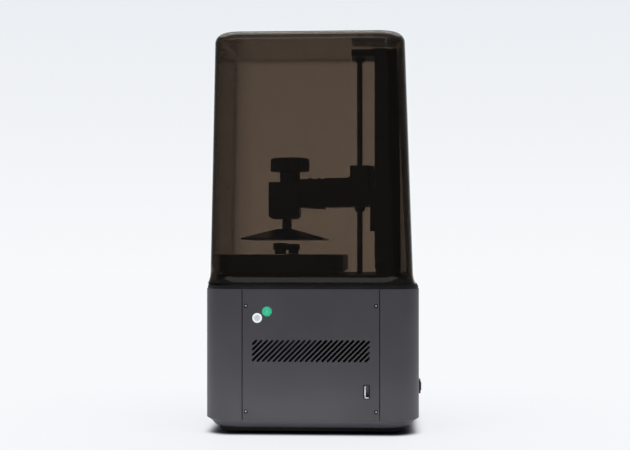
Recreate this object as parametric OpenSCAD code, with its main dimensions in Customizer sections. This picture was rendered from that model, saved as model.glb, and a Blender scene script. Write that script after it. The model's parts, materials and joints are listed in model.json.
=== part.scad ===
// Desktop resin printer: tinted lift-off cover, base housing, resin vat,
// lead-screw Z axis and a clamped build head on a ball joint.
// Frame: +X is the side with the vents and the port, -Y the front with the screen,
// +Y the rear, +Z up. The origin is the centre of the footprint on the ground.

/* [Base] */
// Width of the base, side to side
base_w = 220; // [214:1:226]
// Depth of the base, front to rear
base_d = 213; // [211:1:217]
// Vertical corner radius of the base
base_r = 34; // [30:1:38]
// Height where the housing walls begin
wall_z0 = 15; // [14.5:0.5:16]
// Height where the housing walls end and the rim begins
wall_z1 = 143.5; // [143:0.5:144]
// Thickness of the housing walls
wall_t = 2.5; // [2:0.25:3]
// Width of each side panel between its two seams
panel_w = 134; // [130:1:136]
// Width of the seam round a side panel
seam = 0.9; // [0.4:0.1:1]
// How far the plinth stands back from the housing
plinth_in = 8; // [6:0.5:9]
// Bottom of the plinth
plinth_z0 = 6.5; // [6:0.5:7.5]

/* [Side vent] */
// Length of the slotted field
vent_l = 116; // [90:2:120]
// Lowest point of the slotted field
vent_z0 = 72; // [66:1:76]
// Height of the slotted field
vent_h = 22; // [16:1:26]
// Width of one slanting slot
slot_w = 2.3; // [1.6:0.1:2.6]
// Distance between slots, measured level
slot_pitch = 5.3; // [4.8:0.1:7]

/* [Cover] */
// Height of the whole printer
total_h = 400; // [400:1:412]
// Wall thickness of the cover
cover_t = 3; // [2.5:0.25:3.5]
// Radius of the rounded top edge
cover_edge_r = 9.5; // [7:0.5:12]
// Draft angle of the front wall
draft_front = 1.03; // [0.6:0.01:1.2]
// Draft angle of the rear wall
draft_rear = 1.95; // [1.4:0.01:2]
// Draft angle of the side walls
draft_side = 1.5; // [1:0.05:1.7]

/* [Vat and deck] */
// Height of the deck that carries the vat
deck_z = 157; // [156.5:0.5:157]
// Vat size, side to side
vat_w = 192; // [188:1:194]
// Vat size, front to rear
vat_d = 125; // [120:1:127]
// Height of the vat's upper edge
vat_z1 = 177; // [176:0.5:178]
// Distance of the vat's centre in front of the base centre
vat_off = 31.3; // [30:0.1:32]

/* [Z axis] */
// Distance of the lead screw behind the base centre
screw_y = 46; // [45.5:0.1:46.5]
// Diameter of the lead screw
screw_d = 6.5; // [6:0.1:7]
// Front face of the column, behind the base centre
column_y = 70; // [69.8:0.1:70.4]
// Top of the column
column_z1 = 392; // [388:0.5:392]
// Height of the carriage's lower face
carriage_z = 228; // [226:0.5:230]

/* [Build head] */
// Axis of the clamp knob, in front of the base centre
knob_off = 28.5; // [27:0.1:29]
// Diameter of the clamp knob
knob_d = 41.5; // [36:0.5:44]
// Build plate size, side to side
plate_w = 134; // [130:1:138]
// Build plate size, front to rear
plate_d = 84; // [80:1:86]
// Underside of the build plate
plate_z = 192.6; // [192:0.2:193]

/* [Hidden] */
$fn = 48;

hw = base_w / 2;
hd = base_d / 2;
rim_z1 = 147.4;           // top of the rim
seal_z1 = 148.4;          // top of the seal, where the cover stands
collar_wall = 2.5;        // wall of the deck's raised collar
collar_x = hw - 10;       // half size of the collar, side to side
collar_y0 = -98;          // front face of the collar
collar_y1 = 95.5;         // rear face of the collar
collar_r = 27;
vat_y = -vat_off;
clear = 0.05;             // radial gap of a running fit
thumb_x = 89;             // distance of each thumbscrew from the middle
well_w = 150;             // opening of the vat
well_d = 96;
fan_y = hd - wall_t;      // inner face of the rear wall
exhaust_x = -44;
exhaust_z = 84;
switch_x = 56;
switch_z = 43.9;
jack_x = 30;
port_y = 54.7;            // middle of the memory-stick port
port_z = 43.4;
screen_z = 82;

// ---------- shared outlines ----------

// rounded rectangle about the origin, with true arcs
module round_rect(x, y, r) {
    square([x, y - 2 * r], center = true);
    square([x - 2 * r, y], center = true);
    for (sx = [-1, 1], sy = [-1, 1])
        translate([sx * (x / 2 - r), sy * (y / 2 - r)]) circle(r);
}

module slab(x, y, z0, z1, r) {
    translate([0, 0, z0]) linear_extrude(z1 - z0) round_rect(x, y, r);
}

// slab from y0 to y1, centred side to side
module slab_y(x, y0, y1, z0, z1, r) {
    translate([0, (y0 + y1) / 2, 0]) slab(x, y1 - y0, z0, z1, r);
}

module box(x0, x1, y0, y1, z0, z1) {
    translate([x0, y0, z0]) cube([x1 - x0, y1 - y0, z1 - z0]);
}

module rod(r, z0, z1) {
    translate([0, 0, z0]) cylinder(r = r, h = z1 - z0);
}

// straight slot with round ends, drawn from the origin along +X
module capsule(length, width) {
    translate([0, -width / 2]) square([length, width]);
    circle(width / 2);
    translate([length, 0]) circle(width / 2);
}

// field of parallel slots at 45 degrees that stop at the edges of a rectangle
module slanted_slots(length, height, width, pitch) {
    inner_l = length - width;
    inner_h = height - width;
    count = floor((inner_l + inner_h) / pitch);
    first = (inner_l + inner_h - (count - 1) * pitch) / 2 - inner_h;
    for (i = [0 : count - 1]) {
        start = first + i * pitch;
        u0 = max(start, 0);
        u1 = min(start + inner_h, inner_l);
        if (u1 - u0 > width / 2)
            translate([u0 - inner_l / 2, u0 - start - inner_h / 2])
                rotate(45) capsule((u1 - u0) * sqrt(2), width);
    }
}

// ---------- base housing ----------

module housing_ring() {
    difference() {
        slab(base_w, base_d, wall_z0, wall_z1, base_r);
        slab(base_w - 2 * wall_t, base_d - 2 * wall_t, wall_z0 - 1, wall_z1 + 1, base_r - wall_t);
    }
}

// strips behind the side panels that take their screws
module screw_flanges(sy) {
    flange_y = panel_w / 2 - 9;
    for (sx = [-1, 1])
        difference() {
            translate([sx * (hw - wall_t), 0, (wall_z0 + wall_z1) / 2]) {
                translate([-sx * 1.1, sy * (flange_y + 6.5), 0])
                    cube([2, 13, wall_z1 - wall_z0 - 6], center = true);
                translate([0, sy * (panel_w / 2 + 2.5), 0])
                    cube([2, 3, wall_z1 - wall_z0 - 6], center = true);
            }
            for (z = panel_screw_z)
                translate([sx * hw, sy * panel_screw_y, z]) rotate([0, 90, 0])
                    cylinder(r = 1.3, h = 20, center = true);
        }
}

panel_screw_y = 64;
panel_in = 0.3;           // how far the side panels lie below the shells
panel_screw_z = [23.5, 127.2];

module front_shell() color("#48454a") {
    difference() {
        intersection() {
            housing_ring();
            box(-hw, hw, -hd, -panel_w / 2 - seam, wall_z0, wall_z1);
        }
        translate([0, -hd, screen_z]) rotate([90, 0, 0])
            linear_extrude(20, center = true) round_rect(84, 62, 4);
    }
    screw_flanges(-1);
}

module rear_shell() color("#48454a") {
    difference() {
        intersection() {
            housing_ring();
            box(-hw, hw, panel_w / 2 + seam, hd, wall_z0, wall_z1);
        }
        translate([exhaust_x, hd, exhaust_z]) rotate([90, 0, 0])
            linear_extrude(20, center = true) slanted_slots(46, 46, 2.4, 6.6);
        box(switch_x - 8.6, switch_x + 8.6, hd - 5, hd + 5, switch_z - 5.6, switch_z + 5.6);
        translate([jack_x, hd, switch_z]) rotate([90, 0, 0])
            cylinder(r = 5.05, h = 20, center = true);
    }
    screw_flanges(1);
}

module panel_blank(x0, x1) {
    box(x0, x1, -panel_w / 2, panel_w / 2, wall_z0, wall_z1);
}

// countersunk screw holes, seen from +X
module panel_holes() {
    for (y = [-panel_screw_y, panel_screw_y], z = panel_screw_z)
        translate([hw, y, z]) rotate([0, 90, 0]) {
            cylinder(r = 1.5, h = 20, center = true);
            translate([0, 0, -1.5]) cylinder(r1 = 1.5, r2 = 2.45, h = 1.6);
        }
}

module right_side_panel() color("#48454a")
    difference() {
        panel_blank(hw - wall_t, hw - panel_in);
        translate([hw, 0, vent_z0 + vent_h / 2]) rotate([90, 0, 90])
            linear_extrude(20, center = true) slanted_slots(vent_l, vent_h, slot_w, slot_pitch);
        translate([hw, port_y, port_z]) rotate([90, 0, 90])
            linear_extrude(20, center = true) round_rect(6.4, 14, 0.6);
        panel_holes();
    }

module left_side_panel() color("#48454a")
    mirror([1, 0, 0]) difference() {
        panel_blank(hw - wall_t, hw - panel_in);
        panel_holes();
    }

// screws of both side panels, as a group
module panel_screws() color("#2a2a2c")
    for (sx = [-1, 1], y = [-panel_screw_y, panel_screw_y], z = panel_screw_z)
        translate([sx * hw, y, z]) rotate([0, sx * 90, 0])
            difference() {
                union() {
                    translate([0, 0, -1.5]) cylinder(r1 = 1.4, r2 = 2.1, h = 1.1);
                    translate([0, 0, -5]) cylinder(r = 1.25, h = 4);
                }
                translate([0, 0, -1.1]) cylinder(r = 1.05, h = 2, $fn = 6);
            }

// tapered frame: cones at the corners joined by straight tapered sides
module tapered_block(x, y, r, z0, z1, inset) {
    h = z1 - z0;
    for (sx = [-1, 1], sy = [-1, 1])
        translate([sx * (x / 2 - r), sy * (y / 2 - r), z0]) cylinder(r1 = r - inset, r2 = r, h = h);
    rotate([90, 0, 0]) linear_extrude(y - 2 * r, center = true)
        polygon([[-x / 2 + inset, z0], [x / 2 - inset, z0], [x / 2, z1], [-x / 2, z1]]);
    rotate([90, 0, 90]) linear_extrude(x - 2 * r, center = true)
        polygon([[-y / 2 + inset, z0], [y / 2 - inset, z0], [y / 2, z1], [-y / 2, z1]]);
}

tray_in = plinth_in + 5;
tray_w = base_w - 2 * tray_in;
tray_d = base_d - 2 * tray_in;
tray_r = base_r - tray_in;
tray_z0 = 3;
tray_floor = tray_z0 + 2;

// steps of the plinth's side from the housing down, as [distance in, height]
plinth_side = [
    [0, wall_z0],
    [0.55 * plinth_in, wall_z0 - 2.8],
    [plinth_in, plinth_z0 + 1.6],
    [plinth_in + 3, plinth_z0],
];

module plinth_frame() color("#504e54")
    difference() {
        for (i = [0 : len(plinth_side) - 2]) {
            upper = plinth_side[i];
            lower = plinth_side[i + 1];
            tapered_block(base_w - 2 * upper[0], base_d - 2 * upper[0], base_r - upper[0],
                lower[1], upper[1], lower[0] - upper[0]);
        }
        slab(tray_w, tray_d, plinth_z0 - 1, wall_z0 + 1, tray_r);
    }

// pan with air slots, pillars under the lamp fan and two seats for the mainboard
module bottom_tray() color("#1c1c1e") {
    difference() {
        slab(tray_w, tray_d, tray_z0, wall_z0, tray_r);
        slab(tray_w - 3, tray_d - 3, tray_floor, wall_z0 + 1, tray_r - 1.5);
        for (i = [-4 : 4])
            translate([i * 7, vat_y, 0]) linear_extrude(20, center = true)
                rotate(90) translate([-20, 0]) capsule(40, 3);
    }
    for (sx = [-1, 1], sy = [-1, 1])
        translate([sx * lamp_fan_hole, vat_y + sy * lamp_fan_hole, 0]) rod(3.5, tray_floor - 1, lamp_fan_z);
    for (x = [board_x0 + 10, board_x1 - 14])
        box(x - 4, x + 4, board_y - 1.5, board_y + 3.1, tray_floor - 1, board_z0);
}

module rubber_feet() color("#141414")
    for (sx = [-1, 1], sy = [-1, 1])
        translate([sx * (hw - 30), sy * (hd - 30), 0]) {
            cylinder(r1 = 8.6, r2 = 9, h = 1);
            rod(9, 1, tray_z0);
        }

module top_rim() color("#19191b")
    difference() {
        union() {
            slab(base_w, base_d, wall_z1, rim_z1 - 0.8, base_r);
            slab(base_w - 1.2, base_d - 1.2, rim_z1 - 0.8, rim_z1, base_r - 0.6);
        }
        slab_y(2 * collar_x + 0.4, collar_y0 - 0.2, collar_y1 + 0.2, wall_z1 - 1, rim_z1 + 1, collar_r + 0.2);
    }

module rim_seal() color("#101011")
    difference() {
        slab(base_w - 3.6, base_d - 3.6, rim_z1, seal_z1, base_r - 1.8);
        slab_y(2 * collar_x + 1, collar_y0 - 0.5, collar_y1 + 0.5, rim_z1 - 1, seal_z1 + 1, collar_r + 0.5);
    }

deck_t = 3;
lcd_w = 143;
lcd_d = 92;
lcd_t = 1.6;

// deck plate with a raised collar wall, a pocket for the mask screen and the screw's passage
module top_deck() color("#1d1d1f")
    difference() {
        slab_y(2 * collar_x, collar_y0, collar_y1, wall_z1, deck_z, collar_r);
        slab_y(2 * (collar_x - collar_wall), collar_y0 + collar_wall, collar_y1 - collar_wall,
            wall_z1 - 1, deck_z - deck_t, collar_r - collar_wall);
        translate([0, vat_y, 0]) {
            slab(lcd_w + 0.4, lcd_d + 0.4, deck_z - lcd_t, deck_z + 1, 2);
            slab(lcd_w - 9, lcd_d - 8, deck_z - 5, deck_z + 1, 2);
            for (sx = [-1, 1])
                translate([sx * thumb_x, 0, 0]) rod(4.5, deck_z - 5, deck_z + 1);
        }
        translate([0, screw_y, 0]) rod(6, deck_z - 5, deck_z + 1);
        box(-column_w / 2 - 0.2, column_w / 2 + 0.2, column_y, column_y + column_t + 0.2, deck_z - 5, deck_z + 1);
    }

module deck_posts() color("#b8b8b8")
    for (sx = [-1, 1], sy = [-1, 1])
        translate([sx * 82, sy * 76, 0])
            rod(4, tray_floor, sy > 0 ? bracket_z0 : deck_z - deck_t);

// ---------- front screen ----------

// moved so that +Z of the drawing points out of the front wall
module on_front(z) {
    translate([0, -hd, z]) rotate([90, 0, 0]) children();
}

module screen_bezel() color("#151517")
    on_front(screen_z) difference() {
        union() {
            translate([0, 0, -wall_t]) linear_extrude(wall_t) round_rect(83.8, 61.8, 3.9);
            translate([0, 0, -wall_t - 1.2]) linear_extrude(1.2) round_rect(90, 68, 4);
        }
        translate([0, 0, -1.4]) linear_extrude(3) round_rect(76, 54, 2);
        translate([0, 0, -wall_t - 2]) linear_extrude(6) round_rect(70, 48, 1);
    }

module touch_glass() color("#0b0b0d")
    on_front(screen_z) translate([0, 0, -1.4]) linear_extrude(1.2) round_rect(75.8, 53.8, 1.9);

module display_module() color("#3a3f44")
    on_front(screen_z) {
        translate([0, 0, -5.4]) linear_extrude(4) round_rect(69.6, 47.6, 0.8);
        translate([0, 0, -7]) linear_extrude(1.6) square([80, 56], center = true);
    }

// ---------- electronics ----------

board_y = port_y + 3.3;   // face of the mainboard that carries the port
board_x0 = 34;
board_x1 = hw - wall_t - 2.8;
board_z0 = 22;

module mainboard() color("#1f5a3a") {
    difference() {
        box(board_x0, board_x1, board_y, board_y + 1.6, board_z0, 106);
        for (x = [board_x0 + 4, board_x1 - 6], z = [26, 102])
            translate([x, board_y, z]) rotate([90, 0, 0]) cylinder(r = 1.6, h = 10, center = true);
    }
    box(58, 72, board_y - 3, board_y, 70, 84);
    box(44, 52, board_y - 2, board_y, 56, 64);
    for (i = [0 : 2])
        translate([46 + i * 12, board_y, 94]) rotate([90, 0, 0]) cylinder(r = 4, h = 9);
    box(48, 76, board_y - 8, board_y, 26, 34);
}

// socket shell with its contact tongue, mouth towards +X
module stick_port() color("#c9ccd0")
    translate([hw - 1, port_y, port_z]) rotate([90, 0, 90]) {
        translate([0, 0, -14]) difference() {
            linear_extrude(13.5) round_rect(5.9, 13.4, 0.5);
            translate([0, 0, 1]) linear_extrude(20) round_rect(5.1, 12.6, 0.3);
        }
        translate([0.25 - 1.9, 0, -13.5]) linear_extrude(11.5) square([1.3, 11], center = true);
        translate([2.95, -5, -14]) linear_extrude(12) square([0.7, 1.6], center = true);
    }

// barrel inlet with its centre pin, mouth towards +Y
module power_jack() color("#232325")
    translate([jack_x, hd, switch_z]) rotate([-90, 0, 0]) {
        difference() {
            union() {
                translate([0, 0, -13]) cylinder(r = 5, h = 13);
                cylinder(r = 6.4, h = 1.2);
            }
            translate([0, 0, -10]) cylinder(r = 2.9, h = 20);
        }
        translate([0, 0, -11]) cylinder(r = 1, h = 9.5);
    }

rocker_tilt = 9;          // how far the rocker's rest side is pressed in
rocker_r = 7.2;           // distance from the rocker's pin to its crests
rocker_in = 3.4;          // depth of the rocker's pin below the outside of the rear wall
pin_r = 1.1;

module switch_housing() color("#2c2c2f")
    translate([switch_x, hd, switch_z]) rotate([-90, 0, 0]) {
        difference() {
            union() {
                linear_extrude(2) round_rect(20, 13.4, 1.4);
                translate([0, 0, -14]) linear_extrude(14) square([17, 11], center = true);
            }
            translate([0, 0, -9.5]) linear_extrude(20) square([15.4, 8.6], center = true);
            translate([0, 0, -rocker_in]) rotate([90, 0, 0]) cylinder(r = pin_r + clear, h = 20, center = true);
        }
        for (x = [-4.5, 4.5])
            translate([x, 0, -17]) linear_extrude(3) square([0.8, 5], center = true);
    }

// rocker cap: a shallow V of two faces on a round back, turning about a vertical pin
module switch_rocker() color("#111113")
    translate([switch_x, hd - rocker_in, switch_z]) rotate([0, 0, rocker_tilt]) {
        linear_extrude(8.2, center = true) difference() {
            intersection() {
                circle(rocker_r);
                translate([-rocker_r, -4]) square([2 * rocker_r, 10]);
            }
            polygon([[-8, 6.6], [0, 4.6], [8, 6.6], [8, 12], [-8, 12]]);
        }
        cylinder(r = pin_r, h = 10.4, center = true);
    }

// distance of a fan's screw holes from its centre lines
function fan_hole(size) = size / 2 - size * 0.083;

// square fan frame about the origin, air along Z, from z = 0 to t
module fan_frame(size, t, bore_r, hub_r) {
    hole = fan_hole(size);
    difference() {
        linear_extrude(t) round_rect(size, size, 3);
        translate([0, 0, -1]) cylinder(r = bore_r, h = t + 2);
        for (sx = [-1, 1], sy = [-1, 1])
            translate([sx * hole, sy * hole, -1]) cylinder(r = 2.1, h = t + 2);
    }
    cylinder(r = hub_r, h = 1.6);
    for (a = [45 : 90 : 359])
        rotate(a) translate([0, -1.2, 0]) cube([bore_r + 0.5, 2.4, 1.6]);
    translate([0, 0, 1.6]) cylinder(r = 1.5, h = t - 6);
}

// rotor with pitched blades that turns on the frame's pin
module fan_rotor(t, hub_r, tip_r, blades) {
    difference() {
        translate([0, 0, 2.2]) cylinder(r = hub_r, h = t - 3.4);
        cylinder(r = 1.5 + clear, h = t - 3.8);
    }
    for (i = [0 : blades - 1])
        rotate(i * 360 / blades)
            intersection() {
                translate([hub_r + 3, 0, t / 2 + 0.4]) rotate([38, 0, 0])
                    cube([2 * (tip_r - hub_r), 1.2, 2 * t], center = true);
                difference() {
                    translate([0, 0, 2.6]) cylinder(r = tip_r, h = t - 4.4);
                    translate([0, 0, 2]) cylinder(r = hub_r - 0.6, h = t);
                }
                translate([0, -tip_r, 0]) cube([tip_r, 2 * tip_r, t]);
            }
}

exhaust_size = 50;
exhaust_t = 15;

module at_exhaust() {
    translate([exhaust_x, fan_y - exhaust_t, exhaust_z]) rotate([-90, 0, 0]) children();
}

module exhaust_fan_frame() color("#202022")
    at_exhaust() fan_frame(exhaust_size, exhaust_t, 23.6, 12);

module exhaust_fan_rotor() color("#161618")
    at_exhaust() fan_rotor(exhaust_t, 11.5, 23, 7);

// ---------- light engine ----------

lamp_z = 66;              // top face of the lamp board
sink_z0 = 34;
lamp_fan_z = 16;
lamp_fan_size = 60;
lamp_fan_hole = fan_hole(lamp_fan_size);

module mask_screen() color("#22262c")
    translate([0, vat_y, 0]) slab(lcd_w, lcd_d, deck_z - lcd_t, deck_z, 1.8);

module light_lens() color("#c8d4e0")
    translate([0, vat_y, 0]) slab(lcd_w - 6, lcd_d - 5, deck_z - 11, deck_z - 7.6, 1);

module hood_solid(top_x, top_y, low_x, low_y, z0, z1) {
    hull() {
        translate([0, 0, z0]) linear_extrude(0.01) square([low_x, low_y], center = true);
        translate([0, 0, z1 - 0.01]) linear_extrude(0.01) square([top_x, top_y], center = true);
    }
}

module light_hood() color("#8d8f92")
    translate([0, vat_y, 0]) difference() {
        hood_solid(lcd_w - 5, lcd_d - 4, 78, 62, lamp_z, deck_z - 11);
        hood_solid(lcd_w - 9, lcd_d - 8, 74, 58, lamp_z - 0.1, deck_z - 10.9);
    }

module lamp_board() color("#e8e8e6")
    translate([0, vat_y, 0]) {
        slab(86, 70, lamp_z - 1.6, lamp_z, 2);
        for (ix = [-2.5 : 1 : 2.5], iy = [-1.5 : 1 : 1.5])
            translate([ix * 11, iy * 12, 0]) rod(2.4, lamp_z, lamp_z + 2);
    }

module heat_sink() color("#9a9da0")
    translate([0, vat_y, 0]) {
        slab(86, 70, lamp_z - 6.6, lamp_z - 1.6, 1);
        for (i = [-6 : 6])
            translate([i * 6.6, 0, (sink_z0 + lamp_z - 6.6) / 2])
                cube([1.6, 66, lamp_z - 6.6 - sink_z0], center = true);
    }

module lamp_fan_frame() color("#202022")
    translate([0, vat_y, lamp_fan_z]) fan_frame(lamp_fan_size, sink_z0 - lamp_fan_z, 28, 13);

module lamp_fan_rotor() color("#161618")
    translate([0, vat_y, lamp_fan_z]) fan_rotor(sink_z0 - lamp_fan_z, 12.5, 27.3, 7);

// ---------- vat ----------

film_z = deck_z + 0.3;    // top of the release film
frame_z1 = deck_z + 3;    // top of the clamp frame
body_z0 = frame_z1 + 0.3;

module at_vat() {
    translate([0, vat_y, 0]) children();
}

module vat_body() color("#26272a")
    at_vat() difference() {
        union() {
            slab(vat_w, vat_d, body_z0, vat_z1 - 0.8, 15);
            slab(vat_w - 1.6, vat_d - 1.6, vat_z1 - 0.8, vat_z1, 14.2);
        }
        slab(well_w, well_d, body_z0 - 1, vat_z1 + 1, 9);
        for (sx = [-1, 1])
            translate([sx * thumb_x, 0, 0]) rod(3.2, body_z0 - 1, vat_z1 + 1);
        for (sx = [-1, 1]) // level mark groove round the well
            translate([sx * (well_w / 2 - 0.5), 0, body_z0 + 7]) cube([2, 60, 0.8], center = true);
    }

module film_frame() color("#a9acb0")
    at_vat() difference() {
        slab(vat_w - 8, vat_d - 8, deck_z + 0.5, frame_z1, 11);
        slab(well_w + 2.2, well_d + 2.2, deck_z, frame_z1 + 1, 10.1);
        for (sx = [-1, 1])
            translate([sx * thumb_x, 0, 0]) rod(3.2, deck_z, frame_z1 + 1);
    }

// film drawn down over the inside of the clamp frame, so that it lies on the screen
module release_film() color("#dfe8ee")
    at_vat() {
        slab(well_w + 1.6, well_d + 1.6, deck_z, film_z, 9.8);
        difference() {
            slab(well_w + 1.6, well_d + 1.6, deck_z, body_z0, 9.8);
            slab(well_w + 1, well_d + 1, deck_z - 1, body_z0 + 1, 9.5);
        }
        difference() {
            slab(well_w + 14, well_d + 14, frame_z1, body_z0, 14);
            slab(well_w + 1, well_d + 1, frame_z1 - 1, body_z0 + 1, 9.5);
        }
    }

module deck_inserts() color("#b08d4a")
    at_vat() for (sx = [-1, 1])
        translate([sx * thumb_x, 0, 0]) difference() {
            union() {
                rod(4.5, deck_z - 11, deck_z);
                rod(6.5, deck_z - 6, deck_z - deck_t);
            }
            rod(2.5 + clear, deck_z - 12, deck_z + 1);
        }

washer_t = 1;

module thumb_washer(sx) {
    translate([sx * thumb_x, vat_y, vat_z1]) difference() {
        cylinder(r = 7, h = washer_t);
        translate([0, 0, -1]) cylinder(r = 2.5 + clear, h = washer_t + 2);
    }
}

module right_washer() color("#b4b6b9") thumb_washer(1);
module left_washer() color("#b4b6b9") thumb_washer(-1);

// knurled head on a plain neck, with the threaded shank modelled at its outer diameter
module thumbscrew(sx) {
    neck_z = vat_z1 + washer_t;
    head_z = neck_z + 4;
    translate([sx * thumb_x, vat_y, 0]) {
        rod(2.5, deck_z - 9, neck_z);
        rod(5.7, neck_z, head_z);
        translate([0, 0, head_z]) linear_extrude(6.2) difference() {
            circle(7.25);
            for (a = [0 : 15 : 359])
                rotate(a) translate([7.75, 0]) circle(0.8);
        }
        translate([0, 0, head_z + 6.2]) cylinder(r1 = 6.9, r2 = 6.1, h = 0.8);
    }
}

module right_thumbscrew() color("#1b1b1c") thumbscrew(1);
module left_thumbscrew() color("#1b1b1c") thumbscrew(-1);

// ---------- Z axis ----------

column_w = 56;
column_t = 18;            // depth of the column behind the rail
cheek_y = 8.2;            // reach of its cheeks, on both sides of the rail
cheek_t = 3.2;
cheek_z0 = deck_z + 15;   // the cheeks end above the home sensor
bracket_z0 = 139.5;       // base bracket under the deck
bracket_z1 = 143.5;
rail_w = 12;
rail_h = 8;
rail_z0 = 162;
rail_z1 = 374;
block_gap = 0.1;          // gap between the rail and its block
block_z0 = 201.8;
block_h = 45.4;
block_y = column_y - 13;  // front face of the rail block
head_plate_z = 385.5;     // underside of the top bracket
boss_z = 381.8;           // lower end of its boss round the screw
bearing_r = 5;
bearing_h = 4;

module at_screw() {
    translate([0, screw_y, 0]) children();
}

module z_motor() color("#2b2b2e")
    at_screw() difference() {
        union() {
            slab(42.3, 42.3, bracket_z0 - 9, bracket_z0, 4);
            slab(42.3, 42.3, bracket_z0 - 29, bracket_z0 - 9, 8);
            slab(42.3, 42.3, bracket_z0 - 38, bracket_z0 - 29, 4);
            rod(11, bracket_z0 - 1, bracket_z0 + 2);
        }
        rod(2.5 + clear, bracket_z0 - 20, bracket_z0 + 5);
        for (sx = [-1, 1], sy = [-1, 1])
            translate([sx * 15.5, sy * 15.5, 0]) rod(1.5, bracket_z0 - 5, bracket_z0 + 1);
    }

module z_base_bracket() color("#8f9296")
    difference() {
        union() {
            slab_y(186, 60, 95.5, bracket_z0, bracket_z1, 20);
            slab_y(54, 18, 70, bracket_z0, bracket_z1, 4);
        }
        at_screw() {
            rod(11.1, bracket_z0 - 1, bracket_z1 + 1);
            for (sx = [-1, 1], sy = [-1, 1])
                translate([sx * 15.5, sy * 15.5, 0]) rod(1.7, bracket_z0 - 1, bracket_z1 + 1);
        }
    }

// hollow aluminium extrusion with a slot in each side and a cheek on both sides of the rail
module z_column() color("#1e1f21") {
    for (sx = [-1, 1])
        translate([sx * (column_w - cheek_t) / 2, column_y - cheek_y / 2 + 0.5, cheek_z0])
            linear_extrude(column_z1 - cheek_z0)
                square([cheek_t, cheek_y + 1], center = true);
    translate([0, column_y, bracket_z1]) linear_extrude(column_z1 - bracket_z1) difference() {
        translate([-column_w / 2, 0]) square([column_w, column_t]);
        for (sx = [-1, 1]) {
            translate([sx * 14, column_t / 2]) square([17, column_t - 5], center = true);
            translate([sx * column_w / 2, column_t / 2]) square([4, 5], center = true);
            translate([sx * (column_w / 2 - 3), column_t / 2]) square([2.4, 8], center = true);
        }
        translate([0, column_t / 2]) square([6, column_t - 5], center = true);
    }
}

// rail with its two running grooves and a row of counterbored holes
module linear_rail() color("#b9bcc0")
    difference() {
        translate([0, column_y, rail_z0]) linear_extrude(rail_z1 - rail_z0) difference() {
            translate([-rail_w / 2, -rail_h]) square([rail_w, rail_h]);
            for (sx = [-1, 1])
                translate([sx * (rail_w / 2 + 0.6), -rail_h + 3.4]) circle(1.5);
        }
        for (z = [rail_z0 + 12 : 25 : rail_z1 - 5])
            translate([0, column_y, z]) rotate([90, 0, 0]) {
                translate([0, 0, -1]) cylinder(r = 1.75, h = 20);
                translate([0, 0, rail_h - 4.5]) cylinder(r = 3, h = 10);
            }
    }

module rail_block() color("#c4c7ca")
    difference() {
        box(-13.5, 13.5, block_y, column_y - 3, block_z0, block_z0 + block_h);
        box(-rail_w / 2 - block_gap, rail_w / 2 + block_gap, column_y - rail_h - block_gap, column_y,
            block_z0 - 1, block_z0 + block_h + 1);
        for (sx = [-1, 1]) // end-seal joints
            for (z = [block_z0 + 5, block_z0 + block_h - 5])
                translate([sx * 13.5, block_y + 5, z]) cube([0.8, 12, 0.6], center = true);
    }

module lead_screw() color("#9ea1a5")
    at_screw() {
        rod(2.5, bracket_z0 - 18, bracket_z1 + 3);
        rod(screw_d / 2, bracket_z1 + 3, head_plate_z + 0.5);
        rod(2.5, head_plate_z + 0.5, head_plate_z + bearing_h + 0.7);
    }

cone_h = 5.4;

// round nut in the carriage with a tapered nose below it
module lead_nut() color("#c2a25c")
    at_screw() difference() {
        union() {
            translate([0, 0, carriage_z - cone_h]) cylinder(r1 = 4.8, r2 = 6, h = cone_h);
            rod(6, carriage_z, carriage_z + 30);
        }
        rod(screw_d / 2 + clear, carriage_z - cone_h - 1, carriage_z + 31);
    }

bracket_w = 44;
bracket_y0 = 37.5;

// end plate of the column with the screw's upper bearing seat
module top_bracket() color("#1e1f21")
    difference() {
        union() {
            translate([0, column_y, 0]) rotate([90, 0, 0])
                linear_extrude(column_y - bracket_y0)
                    polygon([
                        [-bracket_w / 2 + 2, head_plate_z], [bracket_w / 2 - 2, head_plate_z],
                        [bracket_w / 2, head_plate_z + 2], [bracket_w / 2, column_z1],
                        [-bracket_w / 2, column_z1], [-bracket_w / 2, head_plate_z + 2]
                    ]);
            at_screw() translate([0, 0, boss_z])
                cylinder(r1 = 5.2, r2 = 6, h = head_plate_z - boss_z + 0.5);
        }
        at_screw() {
            rod(4, boss_z - 1, head_plate_z + 2);
            rod(bearing_r + 0.02, head_plate_z + 1, head_plate_z + 1 + bearing_h);
        }
    }

module top_bearing() color("#c9cbce")
    at_screw() translate([0, 0, head_plate_z + 1]) difference() {
        cylinder(r = bearing_r, h = bearing_h);
        translate([0, 0, -1]) cylinder(r = 2.5 + clear, h = bearing_h + 2);
        for (z = [-1, bearing_h - 0.4])
            translate([0, 0, z]) difference() {
                cylinder(r = 4.2, h = 1.4);
                cylinder(r = 3.4, h = 1.4);
            }
    }

carriage_y0 = 36;
carriage_z1 = 270.5;
carriage_w = 44;

module carriage() color("#17181a")
    difference() {
        translate([0, 0, carriage_z]) linear_extrude(carriage_z1 - carriage_z)
            polygon([
                [-carriage_w / 2, carriage_y0 + 2], [-carriage_w / 2 + 2, carriage_y0],
                [carriage_w / 2 - 2, carriage_y0], [carriage_w / 2, carriage_y0 + 2],
                [carriage_w / 2, block_y - 2], [carriage_w / 2 - 2, block_y],
                [-carriage_w / 2 + 2, block_y], [-carriage_w / 2, block_y - 2]
            ]);
        at_screw() {
            rod(6, carriage_z - 1, carriage_z + 30);
            rod(screw_d / 2 + 1, carriage_z, carriage_z1 + 1);
        }
        for (sx = [-1, 1], z = [carriage_z + 5, carriage_z1 - 5]) // screw heads into the rail block
            translate([sx * 17, carriage_y0, z]) rotate([-90, 0, 0]) translate([0, 0, -1])
                cylinder(r = 3, h = 5);
    }

arm_w = 34;
arm_y0 = 9;
arm_z0 = 227.6;
arm_z1 = 257.8;
fillet_r = 4;

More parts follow.
